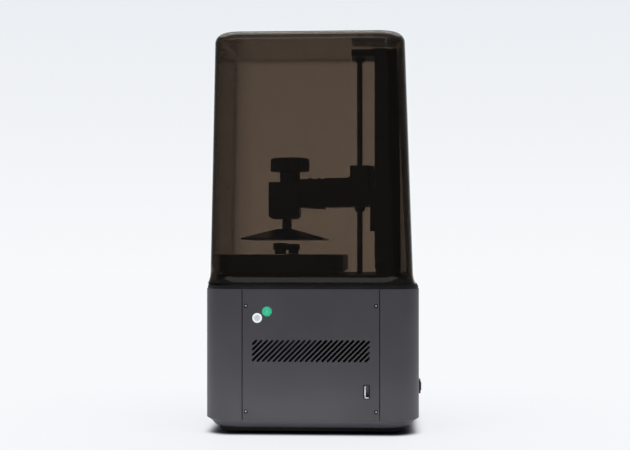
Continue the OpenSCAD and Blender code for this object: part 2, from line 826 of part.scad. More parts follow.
// arm, with a fillet up to the carriage
module cantilever_arm() color("#17181a")
    rotate([90, 0, 90]) linear_extrude(arm_w, center = true) {
        difference() {
            translate([arm_y0, arm_z0]) square([carriage_y0 - arm_y0, arm_z1 - arm_z0 + fillet_r]);
            translate([arm_y0 - 1, arm_z1]) square([carriage_y0 - arm_y0 - fillet_r + 1, fillet_r + 1]);
            translate([carriage_y0 - fillet_r, arm_z1 + fillet_r]) circle(fillet_r);
        }
    }

tongue_z0 = 233;
tongue_z1 = 246;
tongue_w = 20;
head_y0 = -49.9;
head_y1 = -18;
tongue_y0 = -46;

// tip of the arm, with the tongue that the head slides on
module tongue_bracket() color("#151617") {
    rotate([90, 0, 90]) linear_extrude(32, center = true)
        polygon([
            [head_y1 + 0.3, arm_z0 - 0.4], [arm_y0, arm_z0 - 2.2], [arm_y0, arm_z1 - 1],
            [head_y1 + 1.3, arm_z1 - 1], [head_y1 + 0.3, arm_z1 - 2]
        ]);
    box(-tongue_w / 2, tongue_w / 2, tongue_y0, head_y1 + 1, tongue_z0, tongue_z1);
}

flag_x = 22;              // side of the carriage that carries the flag
flag_t = 1.4;
flag_z0 = 202;
sensor_d = 7;             // depth of the sensor in front of the column

// fork sensor on the deck, whose slot the flag enters at the lowest position
module home_sensor() color("#23262a")
    difference() {
        box(flag_x - 3.5, flag_x + 6.5, column_y - sensor_d, column_y, deck_z, deck_z + 14);
        box(flag_x - 0.2, flag_x + 2.8, column_y - sensor_d - 1, column_y - 2,
            deck_z + 5, deck_z + 15);
    }

// thin flag screwed to the carriage, hanging beside the rail block
module sensor_flag() color("#1c1d1f") {
    box(flag_x, flag_x + flag_t, block_y - 12, column_y - 3, carriage_z + 2, carriage_z + 12);
    box(flag_x, flag_x + flag_t, block_y + 0.5, column_y - 3, flag_z0, carriage_z + 12);
}

// ---------- build head ----------

knob_y = -knob_off;
head_w = 36;
head_z0 = 215.1;
head_z1 = 253.6;
ball_y = -31.8;
ball_z = 222.8;
ball_r = 8.5;
pad_r = 4.5;
screw_m = 4;              // radius of the clamp screw
bush_z1 = 265.3;
knob_h = 15;

module at_knob() {
    translate([0, knob_y, 0]) children();
}

module at_ball() {
    translate([0, ball_y, ball_z]) children();
}

// head: channel for the tongue, bore for the clamp pad, socket for the ball
module head_block() color("#17181a")
    difference() {
        rotate([90, 0, 90]) linear_extrude(head_w, center = true)
            polygon([
                [head_y0, head_z0 + 3], [head_y0 + 3, head_z0], [head_y1 - 3, head_z0],
                [head_y1, head_z0 + 3], [head_y1, head_z1], [head_y0 + 1, head_z1], [head_y0, head_z1 - 1]
            ]);
        box(-tongue_w / 2 - 0.1, tongue_w / 2 + 0.1, tongue_y0 - 1.5, head_y1 + 1,
            tongue_z0 - 0.1, tongue_z1 + 0.1);
        at_knob() rod(pad_r + 0.3, tongue_z1 - 1, head_z1 + 1);
        at_ball() {
            sphere(ball_r + clear);
            translate([0, 0, head_z0 - 1 - ball_z]) cylinder(r1 = 5.4, r2 = 4.4, h = 4);
        }
        for (sx = [-1, 1], sy = [-1, 1]) // levelling screw holes
            translate([sx * 13.5, ball_y + sy * 12, head_z0 - 1]) cylinder(r = 1.8, h = 9);
    }

module clamp_bush() color("#1b1b1d")
    at_knob() difference() {
        rod(10.8, head_z1, bush_z1);
        rod(screw_m + clear, head_z1 - 1, bush_z1 + 1);
    }

module clamp_pad() color("#b08d4a")
    at_knob() difference() {
        rod(pad_r, tongue_z1, tongue_z1 + 3);
        rod(2 + clear, tongue_z1 + 1, tongue_z1 + 4);
    }

module clamp_screw() color("#a4a7ab")
    at_knob() {
        rod(2, tongue_z1 + 1.2, tongue_z1 + 3);
        rod(screw_m, tongue_z1 + 3, bush_z1 + 8);
    }

// knob with shallow finger flutes, a rounded edge and a slightly domed top
module clamp_knob() color("#161617")
    at_knob() difference() {
        translate([0, 0, bush_z1 + 0.2]) rotate_extrude() {
            square([knob_d / 2 - 2, knob_h - 1]);
            translate([0, 1.6]) square([knob_d / 2, knob_h - 5.2]);
            translate([knob_d / 2 - 1.6, 1.6]) circle(1.6);
            translate([knob_d / 2 - 2.6, knob_h - 3.6]) circle(2.6);
            polygon([[0, knob_h - 1.01], [knob_d / 2 - 2.6, knob_h - 1.01], [0, knob_h]]);
        }
        for (a = [0 : 15 : 359])
            rotate(a) translate([knob_d / 2 + 1.9, 0, 0]) rod(2.5, bush_z1 - 1, bush_z1 + knob_h + 2);
        rod(screw_m + 0.02, bush_z1 - 1, bush_z1 + 8);
    }

neck_r = 3.6;
stem_r = 5.1;
apex_z = 203.8;

// ball, bored for the stud's neck
module joint_ball() color("#c4c6c9")
    at_ball() difference() {
        sphere(ball_r);
        translate([0, 0, -ball_r - 1]) cylinder(r = neck_r + 0.35, h = ball_r + 5);
    }

module ball_stud() color("#8e9195")
    at_ball() {
        translate([0, 0, head_z0 - 2.6 - ball_z]) cylinder(r = neck_r, h = ball_z + 3 - head_z0 + 2.6);
        translate([0, 0, apex_z - ball_z]) cylinder(r = stem_r, h = head_z0 - 2.6 - apex_z);
        translate([0, 0, plate_z + 3.5 - ball_z]) cylinder(r = 3, h = apex_z - plate_z - 3.5 + 0.5);
    }

// plate with low sloping sides, so that resin runs off
module build_plate() color("#3a3c3f")
    translate([0, ball_y, 0]) difference() {
        union() {
            slab(plate_w, plate_d, plate_z, plate_z + 1.6, 1.5);
            hull() {
                translate([0, 0, plate_z + 1.5]) linear_extrude(0.1)
                    square([plate_w - 0.6, plate_d - 0.6], center = true);
                translate([0, 0, apex_z - 0.1]) linear_extrude(0.1)
                    square([plate_w - plate_d + 18, 16], center = true);
            }
        }
        rod(3 + clear, plate_z + 3.2, apex_z + 1);
    }

// ---------- cover ----------

ring_steps = 9;           // facets in each corner of the cover
edge_steps = 6;           // facets in the rounded top edge
flare_z = 160;            // height where the flared foot ends
foot_z = seal_z1;
edge_z0 = total_h - cover_edge_r;
front_y = -103.2;         // walls at the top of the flare
rear_y = 100.7;
side_x = 105.4;
cover_r = 30;

function flare(z) = z >= flare_z ? 0 : 2.5 * pow((flare_z - z) / (flare_z - foot_z), 2.2);

// corner points of a rounded rectangle from y0 to y1, anticlockwise
function ring(x, y0, y1, r, z) = [
    for (q = [0 : 3], i = [0 : ring_steps])
        let (a = q * 90 + i * 90 / ring_steps,
             cx = (q == 0 || q == 3 ? 1 : -1) * (x - r),
             cy = q < 2 ? y1 - r : y0 + r)
        [cx + r * cos(a), cy + r * sin(a), z]
];

// oval with as many points as a ring
function oval(rx, ry, cy, z) = [
    for (q = [0 : 3], i = [0 : ring_steps])
        let (a = q * 90 + (i + 0.25) * 90 / (ring_steps + 0.5))
        [rx * cos(a), cy + ry * sin(a), z]
];

// wall outline at height z, taken in by d and moved in from the drafted wall
function wall_ring(z, d, out) =
    let (h = z - flare_z)
    ring(side_x - h * tan(draft_side) - d + out,
        front_y + h * tan(draft_front) + d - out,
        rear_y - h * tan(draft_rear) - d + out,
        cover_r - h * 0.012 - d + out, z);

// rounded top edge of radius r, whose walls are taken in by d
function edge_rings(r, d) = [
    for (i = [1 : edge_steps])
        let (a = i * 90 / edge_steps)
        [for (p = wall_ring(edge_z0, d + r * (1 - cos(a)), 0)) [p.x, p.y, edge_z0 + r * sin(a)]]
];

roof_cy = -3.6;           // centre of the roof, front to rear
cover_rings = concat(
    [for (z = [foot_z, foot_z + 1.5, foot_z + 3.5, foot_z + 6, foot_z + 9, flare_z]) wall_ring(z, 0, flare(z))],
    [wall_ring(edge_z0, 0, 0)],
    edge_rings(cover_edge_r, 0),
    [oval(82, 61, roof_cy, total_h), oval(81, 60, roof_cy, total_h - 0.7),
     oval(57, 39, roof_cy, total_h - 0.7), oval(56, 38, roof_cy, total_h - 1.3)]
);
lining_rings = concat(
    [wall_ring(foot_z, cover_t, 0), wall_ring(edge_z0, cover_t, 0)],
    edge_rings(cover_edge_r - cover_t, cover_t)
);

// closed wall between an outer and an inner stack of rings that share their foot
module shell_between(outer, inner) {
    n = len(outer[0]);
    a = len(outer);
    b = len(inner);
    points = [for (r = concat(outer, inner)) each r];
    sides = [
        for (k = [0 : a + b - 2], i = [0 : n - 1])
            if (k != a - 1)
                let (j = (i + 1) % n, up = k < a)
                up ? [k * n + i, (k + 1) * n + i, (k + 1) * n + j, k * n + j]
                   : [k * n + j, (k + 1) * n + j, (k + 1) * n + i, k * n + i]
    ];
    foot = [for (i = [0 : n - 1]) let (j = (i + 1) % n) [i, j, a * n + j, a * n + i]];
    roof = [[for (i = [n - 1 : -1 : 0]) (a - 1) * n + i]];
    ceiling = [[for (i = [0 : n - 1]) (a + b - 1) * n + i]];
    polyhedron(points = points, faces = concat(sides, foot, roof, ceiling), convexity = 6);
}

module cover() color("#6b5040", 0.55)
    shell_between(cover_rings, lining_rings);

// ---------- drawing ----------

front_shell();
rear_shell();
right_side_panel();
left_side_panel();
plinth_frame();
bottom_tray();
rubber_feet();
top_rim();
rim_seal();
top_deck();
panel_screws();
deck_posts();
screen_bezel();
touch_glass();
display_module();
mainboard();
stick_port();
power_jack();
switch_housing();
switch_rocker();
exhaust_fan_frame();
exhaust_fan_rotor();
mask_screen();
light_lens();
light_hood();
lamp_board();
heat_sink();
lamp_fan_frame();
lamp_fan_rotor();
vat_body();
film_frame();
release_film();
deck_inserts();
right_washer();
left_washer();
right_thumbscrew();
left_thumbscrew();
z_motor();
z_base_bracket();
z_column();
linear_rail();
rail_block();
lead_screw();
lead_nut();
top_bracket();
top_bearing();
carriage();
cantilever_arm();
tongue_bracket();
home_sensor();
sensor_flag();
head_block();
clamp_bush();
clamp_pad();
clamp_screw();
clamp_knob();
joint_ball();
ball_stud();
build_plate();
cover();
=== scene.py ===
# %% [markdown]
# # A desktop resin printer
# The printer stands on a grey base. A brown tinted cover sits on it, and inside the cover a
# lead screw lifts a cantilever arm with a clamped build head over a vat of resin.
# The solids come ready sized from the frame. What is left for this script is how they look:
# softened edges, real finishes, the polished cover, the thread, small screws and two stickers.

import json
import math

import bpy
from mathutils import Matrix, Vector

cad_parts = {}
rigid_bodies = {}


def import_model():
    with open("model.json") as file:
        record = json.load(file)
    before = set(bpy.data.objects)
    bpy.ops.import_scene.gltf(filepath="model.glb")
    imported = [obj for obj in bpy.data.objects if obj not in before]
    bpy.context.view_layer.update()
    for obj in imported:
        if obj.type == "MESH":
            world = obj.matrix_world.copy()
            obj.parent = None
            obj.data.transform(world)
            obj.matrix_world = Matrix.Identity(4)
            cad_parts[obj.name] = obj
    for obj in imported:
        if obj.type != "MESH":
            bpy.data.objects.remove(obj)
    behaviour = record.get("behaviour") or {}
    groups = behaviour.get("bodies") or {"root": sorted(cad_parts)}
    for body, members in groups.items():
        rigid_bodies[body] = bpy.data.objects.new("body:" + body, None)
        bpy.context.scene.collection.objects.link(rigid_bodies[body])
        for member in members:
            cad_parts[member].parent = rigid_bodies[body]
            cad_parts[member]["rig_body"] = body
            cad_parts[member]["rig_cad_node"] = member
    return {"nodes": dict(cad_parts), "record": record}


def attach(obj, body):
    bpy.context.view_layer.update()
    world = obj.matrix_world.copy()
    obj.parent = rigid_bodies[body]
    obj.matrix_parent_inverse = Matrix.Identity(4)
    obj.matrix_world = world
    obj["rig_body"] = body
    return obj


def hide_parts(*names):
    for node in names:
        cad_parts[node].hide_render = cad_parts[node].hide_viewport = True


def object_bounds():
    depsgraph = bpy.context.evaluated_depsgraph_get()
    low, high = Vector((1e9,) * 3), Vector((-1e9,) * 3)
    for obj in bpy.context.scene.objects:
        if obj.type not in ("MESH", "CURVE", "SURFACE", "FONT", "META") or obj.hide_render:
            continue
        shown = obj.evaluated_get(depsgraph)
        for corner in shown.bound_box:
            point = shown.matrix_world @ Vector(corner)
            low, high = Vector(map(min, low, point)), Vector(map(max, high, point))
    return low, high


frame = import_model()
CAD_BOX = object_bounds()
MM = 0.001
scene = bpy.context.scene

# %% [markdown]
# ## Working by operators
# Every operator acts on whatever is selected, and loading the frame leaves all its solids
# selected. So each step below starts from an empty selection, and picks faces and edges by
# where they are instead of by number.

# %% Selection helpers
def pick(*objects):
    """Selects only these objects, with the first one active."""
    if bpy.context.mode != "OBJECT":
        bpy.ops.object.mode_set(mode="OBJECT")
    bpy.ops.object.select_all(action="DESELECT")
    for o in objects:
        o.select_set(True)
    bpy.context.view_layer.objects.active = objects[0]


def edit(o, kind="VERT"):
    """Opens o in edit mode with nothing selected."""
    pick(o)
    bpy.ops.object.mode_set(mode="EDIT")
    bpy.ops.mesh.select_mode(type=kind)
    bpy.ops.mesh.select_all(action="DESELECT")


def done():
    bpy.ops.object.mode_set(mode="OBJECT")


def choose(o, test, kind="VERT"):
    """Selects the vertices, edges or faces whose middle passes test(point, element)."""
    edit(o, kind)
    bpy.ops.object.mode_set(mode="OBJECT")
    mesh = o.data
    if kind == "VERT":
        for v in mesh.vertices:
            v.select = bool(test(v.co, v))
    elif kind == "EDGE":
        for e in mesh.edges:
            a, b = (mesh.vertices[i] for i in e.vertices)
            if test((a.co + b.co) / 2, e):
                e.select = a.select = b.select = True
    else:
        for f in mesh.polygons:
            if test(f.center, f):
                f.select = True
                for i in f.vertices:
                    mesh.vertices[i].select = True
    bpy.ops.object.mode_set(mode="EDIT")


def settle(o):
    """Puts o's place into its mesh, so that the object itself sits at the origin."""
    pick(o)
    bpy.ops.object.transform_apply(location=True, rotation=True, scale=True)
    return o


def modify(o, kind, **settings):
    """Adds one modifier with these settings and applies it."""
    pick(o)
    bpy.ops.object.modifier_add(type=kind)
    modifier = o.modifiers[-1]
    for name, value in settings.items():
        setattr(modifier, name, value)
    bpy.ops.object.modifier_apply(modifier=modifier.name)
    return o


def smooth(o, degrees=35):
    pick(o)
    bpy.ops.object.shade_smooth_by_angle(angle=math.radians(degrees))
    return o


def added(name):
    """Names the primitive that was just added."""
    o = bpy.context.active_object
    o.name = name
    return o


def cut(o, cutter):
    """Takes the cutter's shape out of o, then throws the cutter away."""
    modify(o, "BOOLEAN", object=cutter, operation="DIFFERENCE", solver="EXACT")
    bpy.data.objects.remove(cutter)
    return o


# %% [markdown]
# ## Camera
# A long lens, level with the vat, looks at the vented side from a little behind the middle.
# The view is framed by sliding the sensor up a touch and not by tilting the camera, so the
# upright edges stay upright.

# %% Camera
CAMERA_DISTANCE = 1.3223
CAMERA_TURN = math.radians(3.105)
CAMERA_HEIGHT = 0.1816
IMAGE_W, IMAGE_H = 630, 450
FOCAL_PX = 1239.4
AXIS_X, AXIS_Y = 316.76, 250.34
SENSOR_MM = 36.0

bpy.ops.object.camera_add(
    location=(
        CAMERA_DISTANCE * math.cos(CAMERA_TURN),
        CAMERA_DISTANCE * math.sin(CAMERA_TURN),
        CAMERA_HEIGHT,
    ),
    rotation=(math.pi / 2, 0, math.pi / 2 + CAMERA_TURN),
)
camera = added("camera")
camera.data.sensor_width = SENSOR_MM
camera.data.lens = FOCAL_PX / IMAGE_W * SENSOR_MM
camera.data.shift_x = (IMAGE_W / 2 - AXIS_X) / IMAGE_W
camera.data.shift_y = (AXIS_Y - IMAGE_H / 2) / IMAGE_W
scene.camera = camera
scene.view_settings.view_transform = "Standard"
print("lens", round(camera.data.lens, 1), "mm")

# %% [markdown]
# ## Studio
# The background is a plain near-white room. Rays from the camera, and rays that leave glass or
# a mirror, see that white. Rays that only light the object see a softer, dimmer room, so that a
# colour comes out about as it is written.

# %% World
ROOM_LOW = (0.935, 0.950, 0.965, 1.0)
ROOM_HIGH = (0.830, 0.855, 0.890, 1.0)
HORIZON = (-0.02, 0.20)
MIX_A, MIX_B = 6, 7  # the two colour sockets of a Mix node
AMBIENT = (0.90, 0.93, 1.0, 1.0)
AMBIENT_LEVEL = 0.50


def new_node(tree, kind, sockets=None, **settings):
    """Adds a shader node of this kind with these socket values and properties."""
    node = tree.nodes.new("ShaderNode" + kind)
    for key, value in settings.items():
        setattr(node, key, value)
    for key, value in (sockets or {}).items():
        node.inputs[key].default_value = value
    return node


def seen_rays(tree):
    """1 for rays that show a background: from the camera, off gloss or through glass."""
    paths = new_node(tree, "LightPath")
    shown = paths.outputs["Is Camera Ray"]
    for kind in ("Is Glossy Ray", "Is Transmission Ray"):
        either = new_node(tree, "Math", operation="MAXIMUM")
        tree.links.new(shown, either.inputs[0])
        tree.links.new(paths.outputs[kind], either.inputs[1])
        shown = either.outputs[0]
    return shown


world = bpy.data.worlds.new("studio")
scene.world = world
world.use_nodes = True
tree = world.node_tree
wire = tree.links.new
tree.nodes.clear()
direction = new_node(tree, "TexCoord")
split = new_node(tree, "SeparateXYZ")
rise = new_node(tree, "MapRange", {"From Min": HORIZON[0], "From Max": HORIZON[1]})
fade = new_node(tree, "Mix", {MIX_A: ROOM_LOW, MIX_B: ROOM_HIGH}, data_type="RGBA")
ambient = new_node(tree, "Background", {"Color": AMBIENT, "Strength": AMBIENT_LEVEL})
room = new_node(tree, "Background")
mix = new_node(tree, "MixShader")
output = new_node(tree, "OutputWorld")
wire(direction.outputs["Generated"], split.inputs[0])
wire(split.outputs["Z"], rise.inputs["Value"])
wire(rise.outputs["Result"], fade.inputs[0])
wire(fade.outputs[2], room.inputs["Color"])
wire(seen_rays(tree), mix.inputs[0])
wire(ambient.outputs[0], mix.inputs[1])
wire(room.outputs[0], mix.inputs[2])
wire(mix.outputs[0], output.inputs["Surface"])
print("the room is", ROOM_LOW[:3], "low down and", ROOM_HIGH[:3], "above")

# %% [markdown]
# One large lamp hangs above, two tall ones stand at the sides and one behind. Only the one
# above shows in reflections, because bright stripes down the cover's corners would hide its
# tint.

# %% Lamps
LAMP_AIM = (0.0, 0.0, 0.16)


def soft_lamp(name, at, width, height, power, mirrored=True):
    """A rectangular lamp that faces the printer."""
    facing = (Vector(LAMP_AIM) - Vector(at)).to_track_quat("-Z", "Y").to_euler()
    bpy.ops.object.light_add(type="AREA", location=at, rotation=facing)
    lamp = added(name)
    lamp.data.shape = "RECTANGLE"
    lamp.data.size = width
    lamp.data.size_y = height
    lamp.data.energy = power
    lamp.visible_glossy = mirrored
    lamp.visible_transmission = False


soft_lamp("lamp_above", (0.10, 0.0, 1.40), 1.2, 1.2, 9.0)
soft_lamp("lamp_front_side", (0.80, -1.15, 0.35), 0.6, 0.9, 5.0, mirrored=False)
soft_lamp("lamp_rear_side", (0.80, 1.20, 0.35), 0.6, 0.9, 5.0, mirrored=False)
soft_lamp("lamp_back", (-1.20, 0.0, 0.60), 1.2, 0.9, 6.0, mirrored=False)
print(len(bpy.data.lights), "lamps")

# %% [markdown]
# A bright table lights whatever stands on it from below, most of all low down. Four narrow
# lamps lie on the table round the foot for that, and shine straight up.

# %% Light off the table
TABLE_STRIP_W = 0.06
TABLE_STRIP_L = 0.26
TABLE_STRIP_POWER = 0.20
STRIP_GAP = 0.015
STRIP_HEIGHT = 0.002
HALF_W, HALF_D = ((CAD_BOX[1][i] - CAD_BOX[0][i]) / 2 for i in (0, 1))

for number in range(4):
    turn = number * math.pi / 2
    away = (HALF_W, HALF_D)[number % 2] + STRIP_GAP + TABLE_STRIP_W / 2
    bpy.ops.object.light_add(
        type="AREA",
        location=(away * math.cos(turn), away * math.sin(turn), STRIP_HEIGHT),
        rotation=(math.pi, 0, turn),
    )
    strip = added(f"table_light_{number}")
    strip.data.shape = "RECTANGLE"
    strip.data.size = TABLE_STRIP_W
    strip.data.size_y = TABLE_STRIP_L
    strip.data.energy = TABLE_STRIP_POWER
    strip.visible_glossy = False
    strip.visible_camera = False
print("strips lie", STRIP_GAP / MM, "mm from the foot")

# %% [markdown]
# The floor is a pale sheet. Beyond the printer it glows like the plain white of the room. Close
# to the printer it is an ordinary matt surface, and under the overhang of the plinth, where no
# light reaches a real table either, the sheet itself darkens to a contact shadow. All of that
# is a matter of how far a point lies from the printer's foot, which vector nodes work out.

# %% Floor
FLOOR_R = 12.0
CORE_IN = 0.030  # how far inside the printer's sides the distance is measured from
SHADOW_START, SHADOW_END = 0.014, 0.033
GLOW_START, GLOW_END = 0.020, 0.036
ROOM_EDGE = 0.48
PAPER_ROUGH = 0.7
FLOOR_GLOW = 0.80
SHADOW_GREY = (0.012, 0.012, 0.014, 1.0)
PAPER_WHITE = (0.86, 0.88, 0.91, 1.0)


def eased(tree, value, start, end, low, high):
    """A soft step of value from low to high between start and end."""
    ends = {"From Min": start, "From Max": end, "To Min": low, "To Max": high}
    step = new_node(tree, "MapRange", ends, interpolation_type="SMOOTHSTEP")
    tree.links.new(value, step.inputs["Value"])
    return step.outputs["Result"]


def vector_step(tree, operation, value, other=None):
    """One Vector Math node on value, with a constant where the operation takes two."""
    node = new_node(tree, "VectorMath", {1: other} if other else None, operation=operation)
    tree.links.new(value, node.inputs[0])
    return node.outputs["Value" if operation == "LENGTH" else "Vector"]


bpy.ops.object.select_all(action="DESELECT")
bpy.ops.mesh.primitive_circle_add(vertices=128, radius=FLOOR_R, fill_type="NGON")
floor = added("floor")
sheet = bpy.data.materials.new("studio_floor")
sheet.use_nodes = True
tree = sheet.node_tree
wire = tree.links.new
paper = tree.nodes["Principled BSDF"]
paper.inputs["Roughness"].default_value = PAPER_ROUGH
glow = new_node(tree, "Emission", {"Color": ROOM_LOW})
point = new_node(tree, "TexCoord").outputs["Object"]
outside = vector_step(tree, "ABSOLUTE", point)
outside = vector_step(tree, "SUBTRACT", outside, (HALF_W - CORE_IN, HALF_D - CORE_IN, 0.0))
outside = vector_step(tree, "MAXIMUM", outside, (0.0, 0.0, 0.0))
outside = vector_step(tree, "LENGTH", outside)
near = eased(tree, outside, GLOW_START, GLOW_END, 0.0, FLOOR_GLOW)
far = eased(tree, outside, GLOW_END, ROOM_EDGE, 0.0, 1.0 - FLOOR_GLOW)
tone = new_node(tree, "Mix", {MIX_A: SHADOW_GREY, MIX_B: PAPER_WHITE}, data_type="RGBA")
wire(eased(tree, outside, SHADOW_START, SHADOW_END, 0.0, 1.0), tone.inputs[0])
wire(tone.outputs[2], paper.inputs["Base Color"])
both = new_node(tree, "Math", operation="ADD")
share = new_node(tree, "Math", operation="MULTIPLY")
mix = new_node(tree, "MixShader")
wire(near, both.inputs[0])
wire(far, both.inputs[1])
wire(both.outputs[0], share.inputs[0])
wire(seen_rays(tree), share.inputs[1])
wire(share.outputs[0], mix.inputs[0])
wire(paper.outputs[0], mix.inputs[1])
wire(glow.outputs[0], mix.inputs[2])
wire(mix.outputs[0], tree.nodes["Material Output"].inputs["Surface"])
floor.data.materials.append(sheet)
print("the shadow reaches", round((SHADOW_END - CORE_IN) / MM), "mm past the printer's sides")

# %% [markdown]
# A polished cover mirrors whatever stands around it. There a studio hangs dark cloth, or the
# white room would lie over the view into the cover like fog. The cloths are cards that only
# reflections see: one behind the camera, one on each side and two overhead, which leave the
# cover's rounded edge only a thin line of light. A reflection off the inside of the near wall
# has crossed two faces of it. A ray that looks right through the cover has crossed four, and
# for that one the card is clear. Low down, each upright card is as bright as the table.

# %% Dark cloths around the camera
WALL_FACES = 2
CLOTH_FADE = 0.18
SIDE_FADE_FROM = 0.10
TABLE_WHITE = 0.90


def reflection_card(name, at, half_w, half_h, grey, turn=0.0, lean=math.pi / 2, fade_from=0.0):
    """A card that only reflections see; turn swings it round, and lean 0 lays it flat.
    Below fade_from it is as bright as the table, and from CLOTH_FADE up it has its own grey."""
    bpy.ops.object.select_all(action="DESELECT")
    bpy.ops.mesh.primitive_plane_add(size=1, location=at, rotation=(0, lean, turn))
    card = added(name)
    card.scale = (2 * half_h, 2 * half_w, 1)
    settle(card)
    cloth = bpy.data.materials.new(name)
    cloth.use_nodes = True
    tree = cloth.node_tree
    wire = tree.links.new
    tree.nodes.clear()
    dim = new_node(tree, "Emission")
    height = new_node(tree, "SeparateXYZ")
    wire(new_node(tree, "TexCoord").outputs["Object"], height.inputs[0])
    fading = eased(tree, height.outputs["Z"], fade_from, CLOTH_FADE, TABLE_WHITE, grey)
    wire(fading, dim.inputs["Strength"])
    deep = new_node(tree, "Math", {1: WALL_FACES + 0.5}, operation="GREATER_THAN")
    mix = new_node(tree, "MixShader")
    depth = new_node(tree, "LightPath").outputs["Transmission Depth"]
    wire(depth, deep.inputs[0])
    wire(deep.outputs[0], mix.inputs[0])
    wire(dim.outputs[0], mix.inputs[1])
    wire(new_node(tree, "BsdfTransparent").outputs[0], mix.inputs[2])
    wire(mix.outputs[0], new_node(tree, "OutputMaterial").inputs["Surface"])
    card.data.materials.append(cloth)
    card.visible_camera = False
    card.visible_diffuse = False
    card.visible_shadow = False


reflection_card("dark_cloth", (2.1, 0.0, 0.35), 1.8, 0.60, 0.10)
for side, y in (("front", -1.7), ("rear", 1.7)):
    reflection_card(f"dark_cloth_{side}", (-0.4, y, 0.85), 2.6, 1.10, 0.07,
                    turn=math.pi / 2, fade_from=SIDE_FADE_FROM)
reflection_card("dark_canopy", (0.475, 0.0, 1.0), 1.8, 0.525, 0.15, lean=0.0)
reflection_card("grey_canopy", (1.7, 0.0, 1.0), 1.8, 0.70, 0.65, lean=0.0)
print("five cards, seen in reflections only")

# %% [markdown]
# ## Finishes
# Most of the printer is moulded or powder coated: matt, with a grain finer than a millimetre
# and a slow change of tone over the whole panel. One helper builds that from two noises in
# object space. The fine one gives relief and breaks up the gloss, the wide one the tone.
# Metals use the same helper with other numbers.

# %% A grained finish
def shade(hex_colour):
    """Turns a display colour such as #4a484c into the linear one that a shader wants."""
    values = [int(hex_colour[i : i + 2], 16) / 255 for i in (1, 3, 5)]
    linear = [v / 12.92 if v <= 0.04045 else ((v + 0.055) / 1.055) ** 2.4 for v in values]
    return linear + [1.0]


def between(a, b, t):
    """The colour that lies t of the way from a to b."""
    return [a[i] + (b[i] - a[i]) * t for i in range(3)] + [1.0]


class Nodes:
    """Short names for building one material's node tree."""

    def __init__(self, name):
        self.material = bpy.data.materials.new(name)
        self.material.use_nodes = True
        self.tree = self.material.node_tree
        self.shader = self.tree.nodes["Principled BSDF"]
        self.point = self.add("TexCoord").outputs["Object"]

    def add(self, kind, sockets=None, **settings):
        return new_node(self.tree, kind, sockets, **settings)

    def link(self, start, end):
        self.tree.links.new(start, end)

    def stretch(self, scale=(1, 1, 1), turn=(0, 0, 0), shift=(0, 0, 0)):
        """The object's coordinates, scaled, turned and shifted."""
        mapping = self.add("Mapping", {"Scale": scale, "Rotation": turn, "Location": shift})
        self.link(self.point, mapping.inputs["Vector"])
        return mapping.outputs["Vector"]

    def noise(self, scale, detail=3.0, vector=None):
        node = self.add("TexNoise", {"Scale": scale, "Detail": detail})
        self.link(vector or self.point, node.inputs["Vector"])
        return node.outputs[0]

    def ramp(self, factor, stops):
        """stops is a list of (position, colour or grey value)."""
        node = self.add("ValToRGB")
        points = node.color_ramp.elements
        while len(points) < len(stops):
            points.new(0.5)
        for point, (position, value) in zip(points, stops):
            point.position = position
            point.color = value if hasattr(value, "__len__") else (value, value, value, 1)
        self.link(factor, node.inputs["Fac"])
        return node.outputs["Color"]

    def math(self, operation, a, b):
        node = self.add("Math", operation=operation)
        for socket, value in zip(node.inputs, (a, b)):
            if isinstance(value, (int, float)):
                socket.default_value = value
            else:
                self.link(value, socket)
        return node.outputs[0]

    def relief(self, height, strength, depth_mm=0.1):
        bump = self.add("Bump", {"Strength": strength, "Distance": depth_mm * MM})
        self.link(height, bump.inputs["Height"])
        self.link(bump.outputs[0], self.shader.inputs["Normal"])

    def put(self, socket, value):
        if isinstance(value, bpy.types.NodeSocket):
            self.link(value, self.shader.inputs[socket])
        else:
            self.shader.inputs[socket].default_value = value


ROUGH_SPREAD = 0.05
TONE_SCALE = 14.0


def grained(name, colour, rough, metal=0.0, tone=0.08, grain_mm=0.6, relief=0.25,
            pull=(1, 1, 1), gloss=0.5):
    """A finish with grain of about grain_mm; pull stretches it, as brushing does."""
    n = Nodes(name)
    fine = n.noise(1 / (grain_mm * MM), 3.0, n.stretch(pull))
    wide = n.noise(TONE_SCALE, 2.0)
    dark = between((0, 0, 0), colour, 1 - tone)
    light = between(colour, (1, 1, 1), tone * 0.12)
    n.put("Base Color", n.ramp(wide, [(0.3, dark), (0.7, light)]))
    n.put("Roughness", n.ramp(fine, [(0.25, rough - ROUGH_SPREAD), (0.75, rough + ROUGH_SPREAD)]))
    n.put("Metallic", metal)
    n.put("Specular IOR Level", gloss)
    n.relief(fine, relief, grain_mm * 0.12)
    return n.material


# %% [markdown]
# The housing is a warm dark grey with a fine spark-eroded texture. The plinth under it is a
# lighter grey. The pan below it and the feet are black, and near black so that they also paint
# in the deep shade under the plinth. Rim, fans and knob are black plastic, and the moving metal
# parts are powder coated or anodised black, with a slight sheen.

# %% Coated and moulded finishes
FINISH = {}


def add_finish(name, colour, rough, **more):
    """Files a grained finish under its name; colour is a hex colour or a linear one."""
    linear = shade(colour) if isinstance(colour, str) else colour
    FINISH[name] = grained(name, linear, rough, **more)


